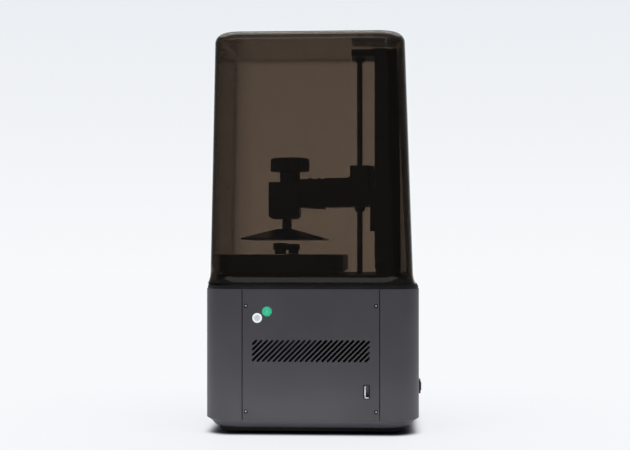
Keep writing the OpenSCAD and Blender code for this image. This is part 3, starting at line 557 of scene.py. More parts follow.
add_finish("housing_grey", "#312f33", 0.50, tone=0.06, grain_mm=0.35, relief=0.3)
# A light grey for the housing's edge bevels: a painted highlight.
add_finish("housing_edge_highlight", "#8d8b90", 0.40, tone=0.06, grain_mm=0.35, relief=0.2)
add_finish("plinth_grey", "#424045", 0.52, tone=0.06, grain_mm=0.35, relief=0.3)
add_finish("black_plastic", "#101012", 0.46, grain_mm=0.4, relief=0.35, gloss=0.35)
add_finish("black_metal", "#0f0f11", 0.48, grain_mm=0.45, relief=0.5, gloss=0.35)
# Near black for the pan and the feet: their black colour, and painted shade under the plinth.
add_finish("pan_shade_black", "#08080a", 0.70, grain_mm=0.5, relief=0.3, gloss=0.1)
# Near black, used as painted shade on the panel screw heads and in the seams.
add_finish("socket_black", "#050506", 0.55, grain_mm=0.3, relief=0.2, gloss=0.1)
add_finish("rim_black", "#111113", 0.50, grain_mm=0.4, relief=0.3, gloss=0.12)
add_finish("rubber", "#131314", 0.78, grain_mm=0.8, relief=0.4)
add_finish("plate_metal", "#2a2b2e", 0.34, metal=0.85, grain_mm=0.25, relief=0.4)
print(len(FINISH), "coated finishes")

# %% [markdown]
# Ground steel, extruded aluminium and turned brass show fine lines along the way that they
# were worked, so the noise is squeezed across that direction.

# %% Bare metals
add_finish("steel", (0.50, 0.51, 0.53, 1), 0.26, metal=1.0, grain_mm=0.5, relief=0.12,
           pull=(4, 4, 0.15))
add_finish("dark_steel", (0.045, 0.045, 0.048, 1), 0.38, metal=0.9, grain_mm=0.4, relief=0.2)
add_finish("aluminium", (0.66, 0.67, 0.69, 1), 0.34, metal=1.0, grain_mm=0.5, relief=0.15,
           pull=(0.2, 3, 3))
add_finish("brass", (0.66, 0.47, 0.20, 1), 0.30, metal=1.0, grain_mm=0.4, relief=0.12,
           pull=(3, 3, 0.3))
add_finish("bright_plate", (0.80, 0.81, 0.83, 1), 0.16, metal=1.0, grain_mm=0.6, relief=0.08)
print(len(FINISH), "finishes with the bare metals")

# %% [markdown]
# ## Clear and printed finishes
# The cover is brown tinted acrylic, polished on both faces. Light from the far side passes
# through two walls, so the tint of one wall is about the square root of what is seen. The glass
# in the deck is nearly black, the film in the vat is clear, and the lamp's lens is frosted.

# %% Tinted acrylic
COVER_TINT = (0.328, 0.274, 0.228, 1.0)
COVER_SLANT = (0.012, 0.008, 0.006, 1.0)
SLANT_POWER = 0.85


def clear(name, colour, rough, index, ripple_mm, relief, slant=None):
    """Polished see-through plastic or glass, with the faint waviness of a moulding."""
    n = Nodes(name)
    wave = n.noise(1 / (ripple_mm * MM), 1.0)
    tint = n.ramp(wave, [(0.2, between((0, 0, 0), colour, 0.985)), (0.8, colour)])
    if slant:
        # A wall seen at a slant is a longer way for light, so it comes out darker.
        weight = n.add("LayerWeight", {"Blend": 0.5})
        deepen = n.add("Mix", {MIX_B: slant}, data_type="RGBA")
        n.link(n.math("POWER", weight.outputs["Facing"], SLANT_POWER), deepen.inputs[0])
        n.link(tint, deepen.inputs[MIX_A])
        tint = deepen.outputs[2]
    n.put("Base Color", tint)
    n.put("Roughness", rough)
    n.put("IOR", index)
    n.put("Transmission Weight", 1.0)
    n.relief(wave, relief, 0.05)
    return n.material


FINISH["tinted_cover"] = clear(
    "tinted_cover", COVER_TINT, 0.015, 1.49, 60, 0.05, slant=COVER_SLANT)
FINISH["clear_film"] = clear("clear_film", (0.82, 0.87, 0.90, 1), 0.08, 1.34, 9, 0.4)
FINISH["lens_acrylic"] = clear("lens_acrylic", (0.80, 0.84, 0.90, 1), 0.22, 1.49, 1.2, 0.8)
print("tint of one wall", COVER_TINT[:3])

# %% [markdown]
# A dark glass that is never seen through does not need to pass light: a smooth black gloss
# looks the same and renders faster.

# %% Dark glass and printed boards
def dark_glass(name, colour):
    n = Nodes(name)
    haze = n.noise(30.0, 2.0)
    n.put("Base Color", n.ramp(haze, [(0.3, colour), (0.7, between(colour, (1, 1, 1), 0.006))]))
    n.put("Roughness", n.ramp(haze, [(0.3, 0.05), (0.7, 0.09)]))
    return n.material


def printed_board(name, mask, track, pitch_mm):
    """A circuit board: solder mask over tracks that run in blocks, with small pads."""
    n = Nodes(name)
    bricks = n.add("TexBrick", {
        "Scale": 1 / (pitch_mm * MM), "Mortar Size": 0.06,
        "Color1": mask, "Color2": between(mask, track, 0.25), "Mortar": track})
    n.link(n.stretch((1, 1, 1), (0.0, 0.0, 0.78)), bricks.inputs["Vector"])
    n.put("Base Color", bricks.outputs["Color"])
    n.put("Roughness", n.ramp(n.noise(700.0), [(0.3, 0.28), (0.7, 0.42)]))
    n.relief(bricks.outputs["Fac"], 0.3, 0.05)
    return n.material


FINISH["screen_glass"] = dark_glass("screen_glass", (0.003, 0.003, 0.004, 1))
FINISH["mask_glass"] = dark_glass("mask_glass", (0.006, 0.007, 0.010, 1))
FINISH["circuit_board"] = printed_board(
    "circuit_board", (0.010, 0.075, 0.035, 1), (0.030, 0.16, 0.075, 1), 3.0)
FINISH["white_board"] = printed_board(
    "white_board", (0.72, 0.72, 0.70, 1), (0.62, 0.62, 0.60, 1), 6.0)
add_finish("port_steel", (0.16, 0.16, 0.17, 1), 0.32, metal=1.0, grain_mm=0.3, relief=0.1)
# Near white for the port's lower lip: a painted highlight.
add_finish("port_lip_highlight", (0.85, 0.86, 0.88, 1), 0.45, grain_mm=0.3, relief=0.1)
add_finish("port_ivory", (0.60, 0.61, 0.62, 1), 0.5, grain_mm=0.3, relief=0.1)
print(len(FINISH), "finishes with glass, boards and the port")

# %% [markdown]
# Each solid has the name of its finish on record. Whatever it was loaded with is dropped and
# that finish put on, so that a solid nothing more is done to looks right already.

# %% Give each solid its finish
def dress(o, finish):
    """Puts one finish on an object and drops what it had."""
    o.data.materials.clear()
    o.data.materials.append(FINISH[finish])
    return o


SLOT_OF = {part["node"]: part["material_slot"] for part in frame["record"]["subparts"]}
for node_name, solid in frame["nodes"].items():
    dress(solid, SLOT_OF[node_name])
print("dressed", len(SLOT_OF), "solids in", len(FINISH), "finishes")

# %% [markdown]
# ## Tinted cover
# The cover is one vacuum-formed or moulded shell that is lifted off by hand. It leans in as it
# rises, so that it draws out of its mould. A box tapered by its upper corners has those
# drafts at once. The upright corners are then bevelled, next the roof's edge, and last the open
# foot is drawn down in steps that flare out to the lip that rests on the seal.

# %% Cover: drafted box
COVER_WALL = 3.0 * MM
COVER_FOOT_Z = 148.4 * MM
FLARE_Z = 160.0 * MM
COVER_TOP_Z = 400.0 * MM
SIDE_X = 105.4 * MM
FRONT_Y, REAR_Y = -103.2 * MM, 100.7 * MM
DRAFT_FRONT, DRAFT_REAR, DRAFT_SIDE = (math.tan(math.radians(a)) for a in (1.03, 1.95, 1.5))
CORNER_R = 30.0 * MM
ROOF_R = 9.5 * MM
CORNER_STEPS = 16
ROOF_STEPS = 10

cover_mid = (FRONT_Y + REAR_Y) / 2
cover_h = COVER_TOP_Z - FLARE_Z
bpy.ops.object.select_all(action="DESELECT")
bpy.ops.mesh.primitive_cube_add(
    size=1, location=(0, cover_mid, FLARE_Z + cover_h / 2),
    scale=(2 * SIDE_X, REAR_Y - FRONT_Y, cover_h))
cover = settle(added("tinted_cover"))
top_front = FRONT_Y + cover_h * DRAFT_FRONT
top_rear = REAR_Y - cover_h * DRAFT_REAR
choose(cover, lambda p, v: p.z > COVER_TOP_Z - MM)
bpy.ops.transform.resize(
    value=(
        (SIDE_X - cover_h * DRAFT_SIDE) / SIDE_X,
        (top_rear - top_front) / (REAR_Y - FRONT_Y),
        1,
    ),
    center_override=(0, cover_mid, COVER_TOP_Z),
)
bpy.ops.transform.translate(value=(0, (top_front + top_rear) / 2 - cover_mid, 0))
print("roof", [round(v / MM, 1) for v in (top_front, top_rear)])

# %% Cover: rounded corners and roof edge
choose(cover, lambda p, e: abs(p.z - FLARE_Z - cover_h / 2) < MM, "EDGE")
bpy.ops.mesh.bevel(
    offset_type="PERCENT", offset=0, offset_pct=100 * CORNER_R / (2 * SIDE_X),
    segments=CORNER_STEPS, affect="EDGES", profile=0.5)
choose(cover, lambda p, e: p.z > COVER_TOP_Z - 0.01 * MM, "EDGE")
bpy.ops.mesh.bevel(offset=ROOF_R, segments=ROOF_STEPS, affect="EDGES", profile=0.5)
choose(cover, lambda p, f: p.z < FLARE_Z + 0.01 * MM, "FACE")
bpy.ops.mesh.delete(type="FACE")
print(len(cover.data.vertices), "points before the foot")

# %% Cover: flared foot
FLARE_OUT = 2.5 * MM
FLARE_POWER = 2.2
FLARE_STEPS = 7


def flare_at(z):
    """How far the lip stands out at height z."""
    return FLARE_OUT * max(0.0, (FLARE_Z - z) / (FLARE_Z - COVER_FOOT_Z)) ** FLARE_POWER


heights = [FLARE_Z + (COVER_FOOT_Z - FLARE_Z) * i / FLARE_STEPS for i in range(FLARE_STEPS + 1)]
for upper, lower in zip(heights, heights[1:]):
    choose(cover, lambda p, e: abs(p.z - upper) < 0.01 * MM, "EDGE")
    drop = upper - lower
    bpy.ops.mesh.extrude_region_move(TRANSFORM_OT_translate={"value": (0, 0, -drop)})
    grow = flare_at(lower) - flare_at(upper) + drop * DRAFT_SIDE
    bpy.ops.transform.resize(
        value=((SIDE_X + grow) / SIDE_X, (SIDE_X + grow) / SIDE_X, 1),
        center_override=(0, cover_mid, lower))
done()
modify(cover, "SOLIDIFY", thickness=COVER_WALL, offset=-1.0, use_even_offset=True)
print("foot reaches x", round(max(v.co.x for v in cover.data.vertices) / MM, 2))

# %% [markdown]
# Two shallow ovals, one inside the other, are pressed into the roof. Each is a flattened
# cylinder taken out of the shell.

# %% Cover: ovals in the roof
ROOF_MID_Y = -3.6 * MM
OVALS = ((81.5, 60.5, 0.7), (56.5, 38.5, 1.3))  # half length, half width and depth, in mm
OVAL_SLOPE = 0.7
CUTTER_H = 2.0

for half_x, half_y, depth in OVALS:
    bpy.ops.object.select_all(action="DESELECT")
    bpy.ops.mesh.primitive_cylinder_add(
        vertices=128, radius=1, depth=1,
        location=(0, ROOF_MID_Y, COVER_TOP_Z + (CUTTER_H / 2 - depth) * MM),
        scale=(half_x * MM, half_y * MM, CUTTER_H * MM))
    oval = settle(added("oval"))
    choose(oval, lambda p, v: p.z < COVER_TOP_Z)
    bpy.ops.transform.resize(value=(1 - OVAL_SLOPE / half_x, 1 - OVAL_SLOPE / half_y, 1),
                             center_override=(0, ROOF_MID_Y, COVER_TOP_Z))
    done()
    cut(cover, oval)
smooth(cover, 30)
modify(cover, "WEIGHTED_NORMAL", keep_sharp=True, weight=60)
dress(cover, "tinted_cover")
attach(cover, "cover")
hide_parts("cover")
print("cover has", len(cover.data.polygons), "faces")

# %% [markdown]
# ## Softened edges
# Real housings have no knife edges: mould and paint round every one, and that thin bright line
# is what makes a part look solid. A solid from the frame is never changed, so a copy is made.
# Its loose triangles are merged, its flat areas joined, and then its sharp edges are bevelled.

# %% Softened copies of the solids
def open_edges(o):
    """Edges that don't lie between exactly two faces."""
    uses = {}
    for face in o.data.polygons:
        for key in face.edge_keys:
            uses[key] = uses.get(key, 0) + 1
    return sum(1 for n in uses.values() if n != 2)


SHARP_EDGE = math.radians(40)


def soften(node, round_mm, finish=None):
    """Copies a solid, rounds its sharp edges, and lets the copy stand for it."""
    solid = frame["nodes"][node]
    pick(solid)
    bpy.ops.object.duplicate()
    o = added(node + "_soft")
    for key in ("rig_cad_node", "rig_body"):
        if key in o:
            del o[key]
    o.parent = None
    edit(o)
    bpy.ops.mesh.select_all(action="SELECT")
    bpy.ops.mesh.remove_doubles(threshold=0.002 * MM)
    bpy.ops.mesh.dissolve_limited(angle_limit=math.radians(0.5))
    done()
    before = open_edges(o)
    modify(o, "BEVEL", width=round_mm * MM, segments=2, limit_method="ANGLE",
           angle_limit=SHARP_EDGE, use_clamp_overlap=True, miter_outer="MITER_ARC")
    smooth(o, 35)
    modify(o, "WEIGHTED_NORMAL", keep_sharp=True, weight=60)
    dress(o, finish or SLOT_OF[node])
    body = solid["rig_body"]
    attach(o, body)
    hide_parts(node)
    print(f"{node}: {len(o.data.polygons)} faces, open {before}/{open_edges(o)}")
    return o


def two_finishes(o, second, test):
    """Gives the faces that pass test(centre, normal) a second finish."""
    o.data.materials.append(FINISH[second])
    marked = [f for f in o.data.polygons if test(f.center, f.normal)]
    for face in marked:
        face.material_index = 1
    return len(marked)


# %% [markdown]
# Large mouldings have wide roundings and small machined parts have narrow ones, so the solids
# are grouped by the width of their bevels in millimetres. A few of them show a finish other
# than the one on record.

# %% Soften the housing, the deck and the mechanism
SOFTENED = {
    0.9: ("front_shell", "rear_shell", "plinth_frame"),
    0.6: ("top_rim", "screen_bezel", "switch_housing", "cantilever_arm", "carriage", "head_block"),
    0.4: (
        "right_side_panel", "left_side_panel", "bottom_tray", "rubber_feet", "top_deck", "vat_body",
        "build_plate", "clamp_knob", "tongue_bracket", "z_column", "z_motor", "switch_rocker",
        "home_sensor", "right_thumbscrew", "left_thumbscrew", "rail_block", "top_bracket",
        "light_hood", "z_base_bracket"),
    0.25: (
        "rim_seal", "film_frame", "power_jack", "clamp_bush", "clamp_pad", "lead_nut", "top_bearing",
        "right_washer", "left_washer", "exhaust_fan_frame", "exhaust_fan_rotor", "lamp_fan_frame",
        "lamp_fan_rotor", "heat_sink", "linear_rail", "joint_ball", "deck_inserts",
        "deck_posts", "sensor_flag", "touch_glass", "mask_screen", "mainboard", "display_module",
        "lamp_board", "light_lens", "clamp_screw"),
}
# The pan and the feet go near black, which also paints the shade under the plinth.
OTHER_FINISH = {
    "bottom_tray": "pan_shade_black", "rubber_feet": "pan_shade_black", "film_frame": "black_metal",
    "lead_nut": "dark_steel", "top_rim": "rim_black", "rim_seal": "rim_black"}
SOFT = {}
for round_mm, names in SOFTENED.items():
    for name in names:
        SOFT[name] = soften(name, round_mm, finish=OTHER_FINISH.get(name))
print(sum(len(names) for names in SOFTENED.values()), "solids softened")

# %% [markdown]
# The black rim sits a little further in than the grey shells under it. That step lets light
# onto the shells' rounded top edge, which then shows as a bright line all round, helped by
# the painted highlight that its bevel faces are given below.

# %% Step between the rim and the shells
CORNER_X, CORNER_Y = 76.0, 72.5
RIM_WALL_R = 32.0
RIM_HALF_X, RIM_HALF_Y = 110.0, 106.5
RIM_STEP = 0.7


def on_outer_wall(point, element):
    """Whether a point of the rim belongs to its outside, also at the corners."""
    dx = max(abs(point.x) / MM - CORNER_X, 0.0)
    dy = max(abs(point.y) / MM - CORNER_Y, 0.0)
    return math.hypot(dx, dy) > RIM_WALL_R


choose(SOFT["top_rim"], on_outer_wall)
bpy.ops.transform.resize(
    value=(1 - RIM_STEP / RIM_HALF_X, 1 - RIM_STEP / RIM_HALF_Y, 1), center_override=(0, 0, 0))
done()
print("rim stands", RIM_STEP, "mm back")

# %% [markdown]
# The small bevel faces round the top of the shells and along the seams get a smoother finish
# that is much lighter than the housing: a painted highlight for the light those edges catch.

# %% Painted highlight on the housing's edges
SHELL_TOP = 143.5
SEAM_X, SEAM_Y = 108.5, 67.5
EDGE_BAND = 1.5


def highlight_edge_face(centre, normal):
    """A bevel face on the top edge of the housing, or beside one of the seams."""
    top = centre.z / MM > SHELL_TOP - 1.0 and 0.25 < normal.z < 0.97
    beside = abs(abs(centre.y) / MM - SEAM_Y) < EDGE_BAND and abs(centre.x) / MM > SEAM_X
    return top or (beside and 0.25 < abs(normal.y) < 0.97)


# The edge bevels of the shells and panels get the painted highlight.
for name in ("front_shell", "rear_shell", "right_side_panel", "left_side_panel"):
    print(name, two_finishes(SOFT[name], "housing_edge_highlight", highlight_edge_face), "edge faces")

# %% [markdown]
# ## Turned parts
# Screws, stickers and the plate's stud are all round. Each starts as a filled disc that is
# drawn out ring by ring: extrude a little, then scale the new ring to the radius wanted. That
# is how a lathe hand thinks of the part, and it closes by itself.

# %% Turning helpers
def turned(name, steps, sides=32):
    """Draws a disc through (radius, height) steps in millimetres, from its foot upwards."""
    radius, height = steps[0]
    bpy.ops.object.select_all(action="DESELECT")
    bpy.ops.mesh.primitive_circle_add(
        vertices=sides, radius=radius * MM, fill_type="NGON", location=(0, 0, height * MM))
    o = settle(added(name))
    edit(o, "FACE")
    bpy.ops.mesh.select_all(action="SELECT")
    for new_radius, new_height in steps[1:]:
        rise = (0, 0, (new_height - height) * MM)
        bpy.ops.mesh.extrude_region_move(TRANSFORM_OT_translate={"value": rise})
        grow = new_radius / radius
        bpy.ops.transform.resize(value=(grow, grow, 1), center_override=(0, 0, new_height * MM))
        radius, height = new_radius, new_height
    bpy.ops.mesh.select_all(action="SELECT")
    bpy.ops.mesh.normals_make_consistent(inside=False)
    done()
    return o


TURNS = {
    "+Z": (0, 0, 0), "-Z": (math.pi, 0, 0), "+X": (0, math.pi / 2, 0), "-X": (0, -math.pi / 2, 0),
    "+Y": (-math.pi / 2, 0, 0), "-Y": (math.pi / 2, 0, 0)}


def place(o, at, towards="+Z"):
    """Turns o's top towards an axis, moves it to a point in millimetres, and settles it."""
    o.rotation_euler = TURNS[towards]
    o.location = Vector(at) * MM
    return settle(o)


def spread(model, name, places):
    """Sets a copy of model at each (point, direction), and joins the copies into one piece."""
    made = []
    for at, towards in places:
        pick(model)
        bpy.ops.object.duplicate()
        made.append(place(added(name), at, towards))
    pick(*made)
    if len(made) > 1:
        bpy.ops.object.join()
    bpy.data.objects.remove(model)
    return added(name)


def fit(o, body, slot, finish=None, stands_for=None, angle=35):
    """Finishes a new piece: shading, material and the body that carries it; slot is the finish used
    when no other is given.
    """
    smooth(o, angle)
    dress(o, finish or slot)
    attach(o, body)
    if stands_for:
        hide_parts(stands_for)
    print(f"{o.name}: {len(o.data.polygons)} faces, open {open_edges(o)}")
    return o


def hex_key(radius, depth, height):
    """A hexagonal cutter for a socket, with its middle at this height."""
    bpy.ops.object.select_all(action="DESELECT")
    bpy.ops.mesh.primitive_cylinder_add(
        vertices=6, radius=radius * MM, depth=depth * MM, location=(0, 0, height * MM))
    return added("hex_key")


def socket_screw(name, head, height, socket, depth):
    """A button head that stands on Z = 0, with a hex socket in its top."""
    o = turned(name, [
        (head * 0.97, 0), (head, 0.12 * height), (head, 0.45 * height),
        (head * 0.93, 0.75 * height), (head * 0.80, height)], 28)
    return cut(o, hex_key(socket, 2 * depth, height))


# %% [markdown]
# ## Screws of the side panels
# Each side panel is held by four small countersunk screws. The head lies just under the face
# and is finished near black, which paints in the shade of the gap round it, so what shows is a
# black ring round a lighter socket. One screw is modelled and copied.

# %% Panel screws
PANEL_SCREW_Y = 64.0
PANEL_SCREW_Z = (23.5, 127.2)
PANEL_FACE_X = 109.7
FLOOR_REACH = 0.5
FLOOR_DEPTHS = (0.6, 1.4)

screw = turned("panel_screw_model", [
    (1.2, -5.0), (1.25, -4.9), (1.25, -1.6), (1.5, -1.55), (2.05, -0.30), (1.92, -0.20),
    (1.30, -0.20)], 24)
cut(screw, hex_key(1.05, 1.8, -0.2))
panel_screw_places = [
    ((side * (PANEL_FACE_X + 0.1), y, z), "+X" if side > 0 else "-X")
    for side in (1, -1) for y in (-PANEL_SCREW_Y, PANEL_SCREW_Y) for z in PANEL_SCREW_Z]
# The near-black heads are painted shade for the gap round each head.
panel_screws = fit(
    spread(screw, "panel_screws_socketed", panel_screw_places), "base", "dark_steel",
    "socket_black", "panel_screws")


def socket_floor(centre, normal):
    """The floor of a hex socket: a face deep in a head, close to its axis."""
    off_axis = min(
        math.hypot(centre.y / MM - y, centre.z / MM - z)
        for y in (-PANEL_SCREW_Y, PANEL_SCREW_Y) for z in PANEL_SCREW_Z)
    depth = PANEL_FACE_X - abs(centre.x) / MM
    return off_axis < FLOOR_REACH and FLOOR_DEPTHS[0] < depth < FLOOR_DEPTHS[1]


print(two_finishes(panel_screws, "steel", socket_floor), "socket floors")

# %% [markdown]
# ## Two round stickers
# Somebody put two small paper dots on the side panel, as is done in a workshop after a test.
# A sticker is a disc a tenth of a millimetre thick whose edge is slightly rolled. The green
# one is plain and mottled, and the white one has a clean rim round a greyish blank field.

# %% Sticker paper
STICKER_T = 0.12
GREEN_AT, GREEN_R = (PANEL_FACE_X, -43.0, 121.6), 5.0
WHITE_AT, WHITE_R = (PANEL_FACE_X, -52.6, 115.3), 4.8
RING_REACH = 6.0 * MM


def sticker_paper(name, centre, stops, mottle, mottle_mm, rough):
    """Paper whose colour runs from the centre outwards, with blotches mixed in."""
    n = Nodes(name)
    shifted = n.stretch((1, 1, 1), (0, 0, 0), tuple(-c * MM for c in centre))
    length = n.add("VectorMath", operation="LENGTH")
    n.link(shifted, length.inputs[0])
    rings = n.ramp(n.math("DIVIDE", length.outputs["Value"], RING_REACH), stops)
    blot = n.noise(1 / (mottle_mm * MM), 2.0)
    mixed = n.add("Mix", {0: 1.0}, data_type="RGBA", blend_type="MULTIPLY")
    n.link(rings, mixed.inputs[MIX_A])
    n.link(n.ramp(blot, [(0.35, between((0, 0, 0), (1, 1, 1), mottle)), (0.65, (1, 1, 1, 1))]),
           mixed.inputs[MIX_B])
    n.put("Base Color", mixed.outputs[2])
    n.put("Roughness", rough)
    n.relief(blot, 0.3, 0.05)
    return n.material


FINISH["green_sticker"] = sticker_paper(
    "green_sticker", GREEN_AT,
    [(0.0, shade("#3fd3a2")), (0.68, shade("#2ebf90")), (0.80, shade("#1c9a72"))], 0.62, 2.0, 0.42)
FINISH["white_sticker"] = sticker_paper(
    "white_sticker", WHITE_AT,
    [(0.0, shade("#c3c7cb")), (0.50, shade("#c9cdd0")), (0.58, shade("#eef4f5")),
     (0.80, shade("#e6ecee"))], 0.86, 1.1, 0.48)

# %% Stickers on the panel
for name, at, radius in (("green_sticker", GREEN_AT, GREEN_R), ("white_sticker", WHITE_AT, WHITE_R)):
    dot = turned(name, [
        (radius - 0.03, 0.0), (radius, 0.02), (radius, STICKER_T - 0.04),
        (radius - 0.05, STICKER_T), (radius - 0.6, STICKER_T), (radius - 0.9, STICKER_T - 0.02)], 48)
    fit(place(dot, at, "+X"), "base", "bright_plate", name)
print("stickers stand", STICKER_T, "mm proud")

# %% [markdown]
# ## Memory-stick port
# A socket is a folded steel shell with a plastic tongue along one wall. Its cavity is deep and
# dark, and only the lower lip and the tongue catch light. The lip is finished near white, a
# painted highlight for the light it catches. The shell is a rounded box with a smaller one cut
# out of it. The tongue carries four contact strips.

# %% Port
PORT_Y, PORT_Z = 54.7, 43.4
MOUTH_X, BACK_X = 109.0, 95.0


def block(name, low, high):
    """A box between two corners in millimetres."""
    bpy.ops.object.select_all(action="DESELECT")
    size = [(b - a) * MM for a, b in zip(low, high)]
    middle = [(a + b) / 2 * MM for a, b in zip(low, high)]
    bpy.ops.mesh.primitive_cube_add(size=1, location=middle, scale=size)
    return settle(added(name))


def rounded(o, width_mm, segments=2, sharp=40):
    """Rounds the edges of o that are sharper than so many degrees."""
    return modify(o, "BEVEL", width=width_mm * MM, segments=segments, limit_method="ANGLE",
                  angle_limit=math.radians(sharp))


def at_port(name, low, high):
    """A block whose Y and Z are measured from the middle of the port."""
    corners = [(x, PORT_Y + y, PORT_Z + z) for x, y, z in (low, high)]
    return block(name, *corners)


shell = at_port("port_shell", (BACK_X, -2.95, -6.7), (MOUTH_X - 0.1, 2.95, 6.7))
rounded(shell, 0.5, 3)
hollow = at_port("hollow", (BACK_X + 0.8, -2.55, -6.3), (MOUTH_X + 1, 2.55, 6.3))
cut(shell, rounded(hollow, 0.3, 2))
fit(shell, "base", "bright_plate", "port_steel", "stick_port")

# %% Port: tongue, contacts, springs and lip
tongue = at_port("port_tongue", (BACK_X + 0.4, -2.3, -5.5), (MOUTH_X - 1.6, -1.0, 5.5))
fit(rounded(tongue, 0.25), "base", "white_board", "port_ivory")
strip = block("port_contact", (BACK_X + 1, -0.05, -0.5), (MOUTH_X - 2.4, 0.05, 0.5))
contacts = spread(strip, "port_contacts", [
    ((0, PORT_Y - 0.98, PORT_Z + offset), "+Z") for offset in (-3.5, -1.0, 1.0, 3.5)])
fit(contacts, "base", "brass")
spring = block("port_spring", (MOUTH_X - 7.0, -0.12, -0.6), (MOUTH_X - 1.2, 0.12, 0.6))
springs = spread(spring, "port_springs", [
    ((0, PORT_Y + 2.45, PORT_Z + offset), "+Z") for offset in (-3.0, 3.0)])
fit(rounded(springs, 0.1), "base", "bright_plate", "port_steel")
# The lip's near-white finish is a painted highlight.
lip = at_port("port_lip", (MOUTH_X - 2.2, -2.3, -6.45), (MOUTH_X - 0.15, 2.3, -5.6))
fit(rounded(lip, 0.3), "base", "bright_plate", "port_lip_highlight")

# %% [markdown]
# ## Ball stud
# The stud hangs the plate from its ball. It's turned from one bar: a thread for the plate, a
# thick stem that nearly reaches the clamp block, and a neck that goes up into the ball. Two
# spanner flats on the stem are cut with a block, one side after the other.

# %% Ball stud
BALL_Y = -31.8
FLAT_AT, FLAT_Z = 4.5, (205.5, 209.0)
KEY_HALF_X, KEY_HALF_Y = 2, 8

stud = turned("ball_stud_turned", [
    (2.9, 196.2), (3.0, 196.4), (3.0, 203.4), (4.9, 203.4), (5.1, 203.6), (5.1, 214.0),
    (4.8, 214.4), (3.7, 214.5), (3.6, 214.8), (3.6, 225.6), (3.4, 225.8)], 48)
for side in (1, -1):
    key_x = side * (FLAT_AT + KEY_HALF_X)
    low = (key_x - KEY_HALF_X, -KEY_HALF_Y, FLAT_Z[0])
    high = (key_x + KEY_HALF_X, KEY_HALF_Y, FLAT_Z[1])
    cut(stud, block("flat_cutter", low, high))
fit(place(stud, (0, BALL_Y, 0)), "stud", "dark_steel", "dark_steel", "ball_stud")

# %% [markdown]
# ## Felt wiper of the carriage
# Behind the carriage, over the rail block, sits a plate with a felt that keeps dust off the
# rail. It reaches to within about half a millimetre of the rail.

# %% Wiper plate
FELT_EDGE, FELT_DEPTH = 3.0 * MM, 0.8 * MM
BROAD_FACE = 1e-4  # square metres

wiper = block("carriage_wiper", (-20, 57.0, 247.7), (20, 61.4, 270.2))
rounded(wiper, 1.2, 3)
choose(wiper, lambda p, f: f.normal.y > 0.9 and f.area > BROAD_FACE, "FACE")
bpy.ops.mesh.inset(thickness=FELT_EDGE)
bpy.ops.mesh.extrude_region_move(TRANSFORM_OT_translate={"value": (0, -FELT_DEPTH, 0)})
done()
fit(wiper, "carriage", "black_metal")

# %% [markdown]
# ## Duct behind the column
# The lead of the home sensor runs down a flat duct on the column's back. Its upper end slopes
# forwards, because the cover's wall comes closer there.

# %% Sensor duct
DUCT_HALF_W, DUCT_FRONT_Y, DUCT_BACK_Y, DUCT_TIP_Y = 20.0, 87.9, 91.2, 89.5
DUCT_FOOT_Z, DUCT_BEND_Z, DUCT_TIP_Z = 150.5, 322.0, 370.0
duct = block("sensor_duct", (-DUCT_HALF_W, DUCT_FRONT_Y, DUCT_FOOT_Z),
             (DUCT_HALF_W, DUCT_BACK_Y, DUCT_BEND_Z))
choose(duct, lambda p, f: f.normal.z > 0.9, "FACE")
bpy.ops.mesh.extrude_region_move(
    TRANSFORM_OT_translate={"value": (0, 0, (DUCT_TIP_Z - DUCT_BEND_Z) * MM)})
done()
choose(duct, lambda p, v: p.z > (DUCT_TIP_Z - 1) * MM and p.y > (DUCT_BACK_Y - 1) * MM)
bpy.ops.transform.translate(value=(0, (DUCT_TIP_Y - DUCT_BACK_Y) * MM, 0))
done()
rounded(duct, 0.5, 2, sharp=60)
fit(duct, "base", "black_metal")

# %% [markdown]
# ## Lead screw
# The screw has two starts and rises four millimetres a turn, so its cross-section has two
# lobes. Sweeping that section up and round makes the whole thread. A circle has its groove
# vertices scaled inwards, and the Screw modifier carries it up. The plain ends are turned.

# %% Lead screw
SCREW_Y = 46.0
SCREW_R, GROOVE_R = 3.22, 2.55
THREAD_LEAD, THREAD_STARTS = 4.0, 2
THREAD_Z0, THREAD_TURNS = 147.0, 58
SECTION_SIDES, STEPS_A_TURN = 32, 12


def in_groove(point):
    """Whether a point of the section lies in one of the thread's grooves."""
    share = (math.atan2(point.y, point.x) / (2 * math.pi) * THREAD_STARTS) % 1.0
    return 0.40 < share < 0.90


bpy.ops.object.select_all(action="DESELECT")
bpy.ops.mesh.primitive_circle_add(
    vertices=SECTION_SIDES, radius=SCREW_R * MM, fill_type="NOTHING", location=(0, 0, THREAD_Z0 * MM))
thread = settle(added("lead_screw_threaded"))
choose(thread, lambda p, v: in_groove(p))
deeper = GROOVE_R / SCREW_R
bpy.ops.transform.resize(value=(deeper, deeper, 1), center_override=(0, 0, THREAD_Z0 * MM))
done()
modify(thread, "SCREW", axis="Z", angle=2 * math.pi, screw_offset=THREAD_LEAD * MM,
       iterations=THREAD_TURNS, steps=STEPS_A_TURN, render_steps=STEPS_A_TURN,
       use_merge_vertices=False)
edit(thread)
bpy.ops.mesh.select_all(action="SELECT")
bpy.ops.mesh.fill_holes(sides=0)
bpy.ops.mesh.normals_make_consistent(inside=False)
done()
THREAD_Z1 = THREAD_Z0 + THREAD_LEAD * THREAD_TURNS
foot_end = turned("screw_foot", [
    (2.9, 121.7), (3.15, 122.0), (3.15, THREAD_Z0 - 0.6), (2.5, THREAD_Z0 + 0.4)], 32)
head_end = turned("screw_head", [
    (2.5, THREAD_Z1 - 0.4), (2.9, THREAD_Z1 + 0.4), (2.9, 389.8), (2.6, 390.1)], 32)
pick(thread, foot_end, head_end)
bpy.ops.object.join()
fit(place(added("lead_screw_threaded"), (0, SCREW_Y, 0)), "lead_screw", "dark_steel", "dark_steel",
    "lead_screw", angle=30)

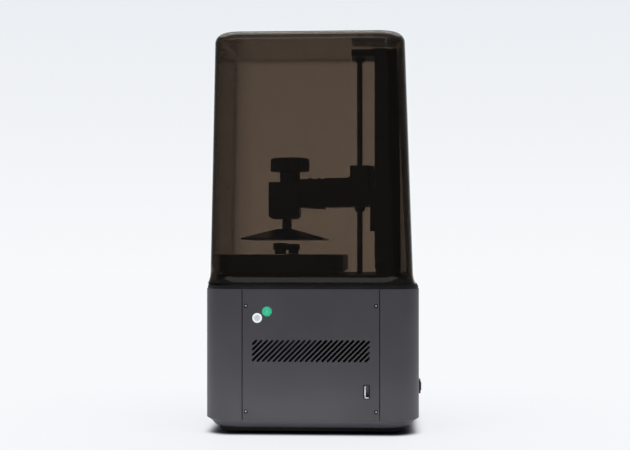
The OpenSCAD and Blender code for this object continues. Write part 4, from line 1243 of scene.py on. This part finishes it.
# %% [markdown]
# ## Socket screws
# Everything that comes apart is held by screws with a hex socket. One model of each size is
# turned and cut, and copies of it are set in the counterbores of the solids or on flat faces.

# %% Socket screws of the mechanism
RAIL_HOLE_Z0, RAIL_HOLE_PITCH, RAIL_HOLES = 174, 25, 8
rail_screw_z = [RAIL_HOLE_Z0 + RAIL_HOLE_PITCH * i for i in range(RAIL_HOLES)]
socket_sets = [
    # name, body, head radius, height, socket radius, depth, places
    ("carriage_screws", "carriage", 2.75, 3.2, 1.5, 1.8,
     [((x, 40.0, z), "-Y") for x in (-17, 17) for z in (233.0, 265.5)]),
    ("rail_screws", "base", 2.7, 2.6, 1.4, 1.5, [((0, 66.5, z), "-Y") for z in rail_screw_z]),
    ("head_set_screws", "head", 1.9, 0.5, 0.95, 0.45,
     [((x, y, 226.8), "+X" if x > 0 else "-X") for x in (18.0, -18.0) for y in (-41.6, -22.2)]),
    ("bracket_screws", "base", 3.0, 1.8, 1.45, 1.2,
     [((x, y, 392.0), "+Z") for x in (-15, 15) for y in (61, 66)]),
    ("tongue_screws", "carriage", 2.2, 1.4, 1.2, 0.9,
     [((x, y, 256.8), "+Z") for x in (-10, 10) for y in (-6.0, 3.0)]),
]
for name, body, head, height, socket, depth, places in socket_sets:
    model = socket_screw(name + "_model", head, height, socket, depth)
    fit(spread(model, name, places), body, "dark_steel")
print(sum(len(s[-1]) for s in socket_sets), "socket screws")

# %% [markdown]
# ## Painted shade in the seams
# The panels butt against the shells with a gap of just under a millimetre. A black strip fills
# the bottom of each gap as painted shade, so the seam reads as a dark line. One strip is copied
# four times.

# %% Painted shade in the seams
SEAM_STRIP_X, SEAM_STRIP_Y = 108.3, 67.45
seam_strip = rounded(block("seam_shade_model", (-0.5, -0.42, 15.6), (0.5, 0.42, 142.9)), 0.12)
seam_places = [((x, y, 0), "+Z") for x in (-SEAM_STRIP_X, SEAM_STRIP_X) for y in (-SEAM_STRIP_Y, SEAM_STRIP_Y)]
# The black strips are painted shade in the bottom of the seams.
fit(spread(seam_strip, "seam_shade", seam_places), "base", "rubber", "socket_black")

# %% [markdown]
# ## Size
# The box of the solids is printed, in millimetres. The dressed printer has to stay within the
# box of its solids.

# %% Print the box of the solids
print("cad", [[round(c / MM, 2) for c in v] for v in CAD_BOX])
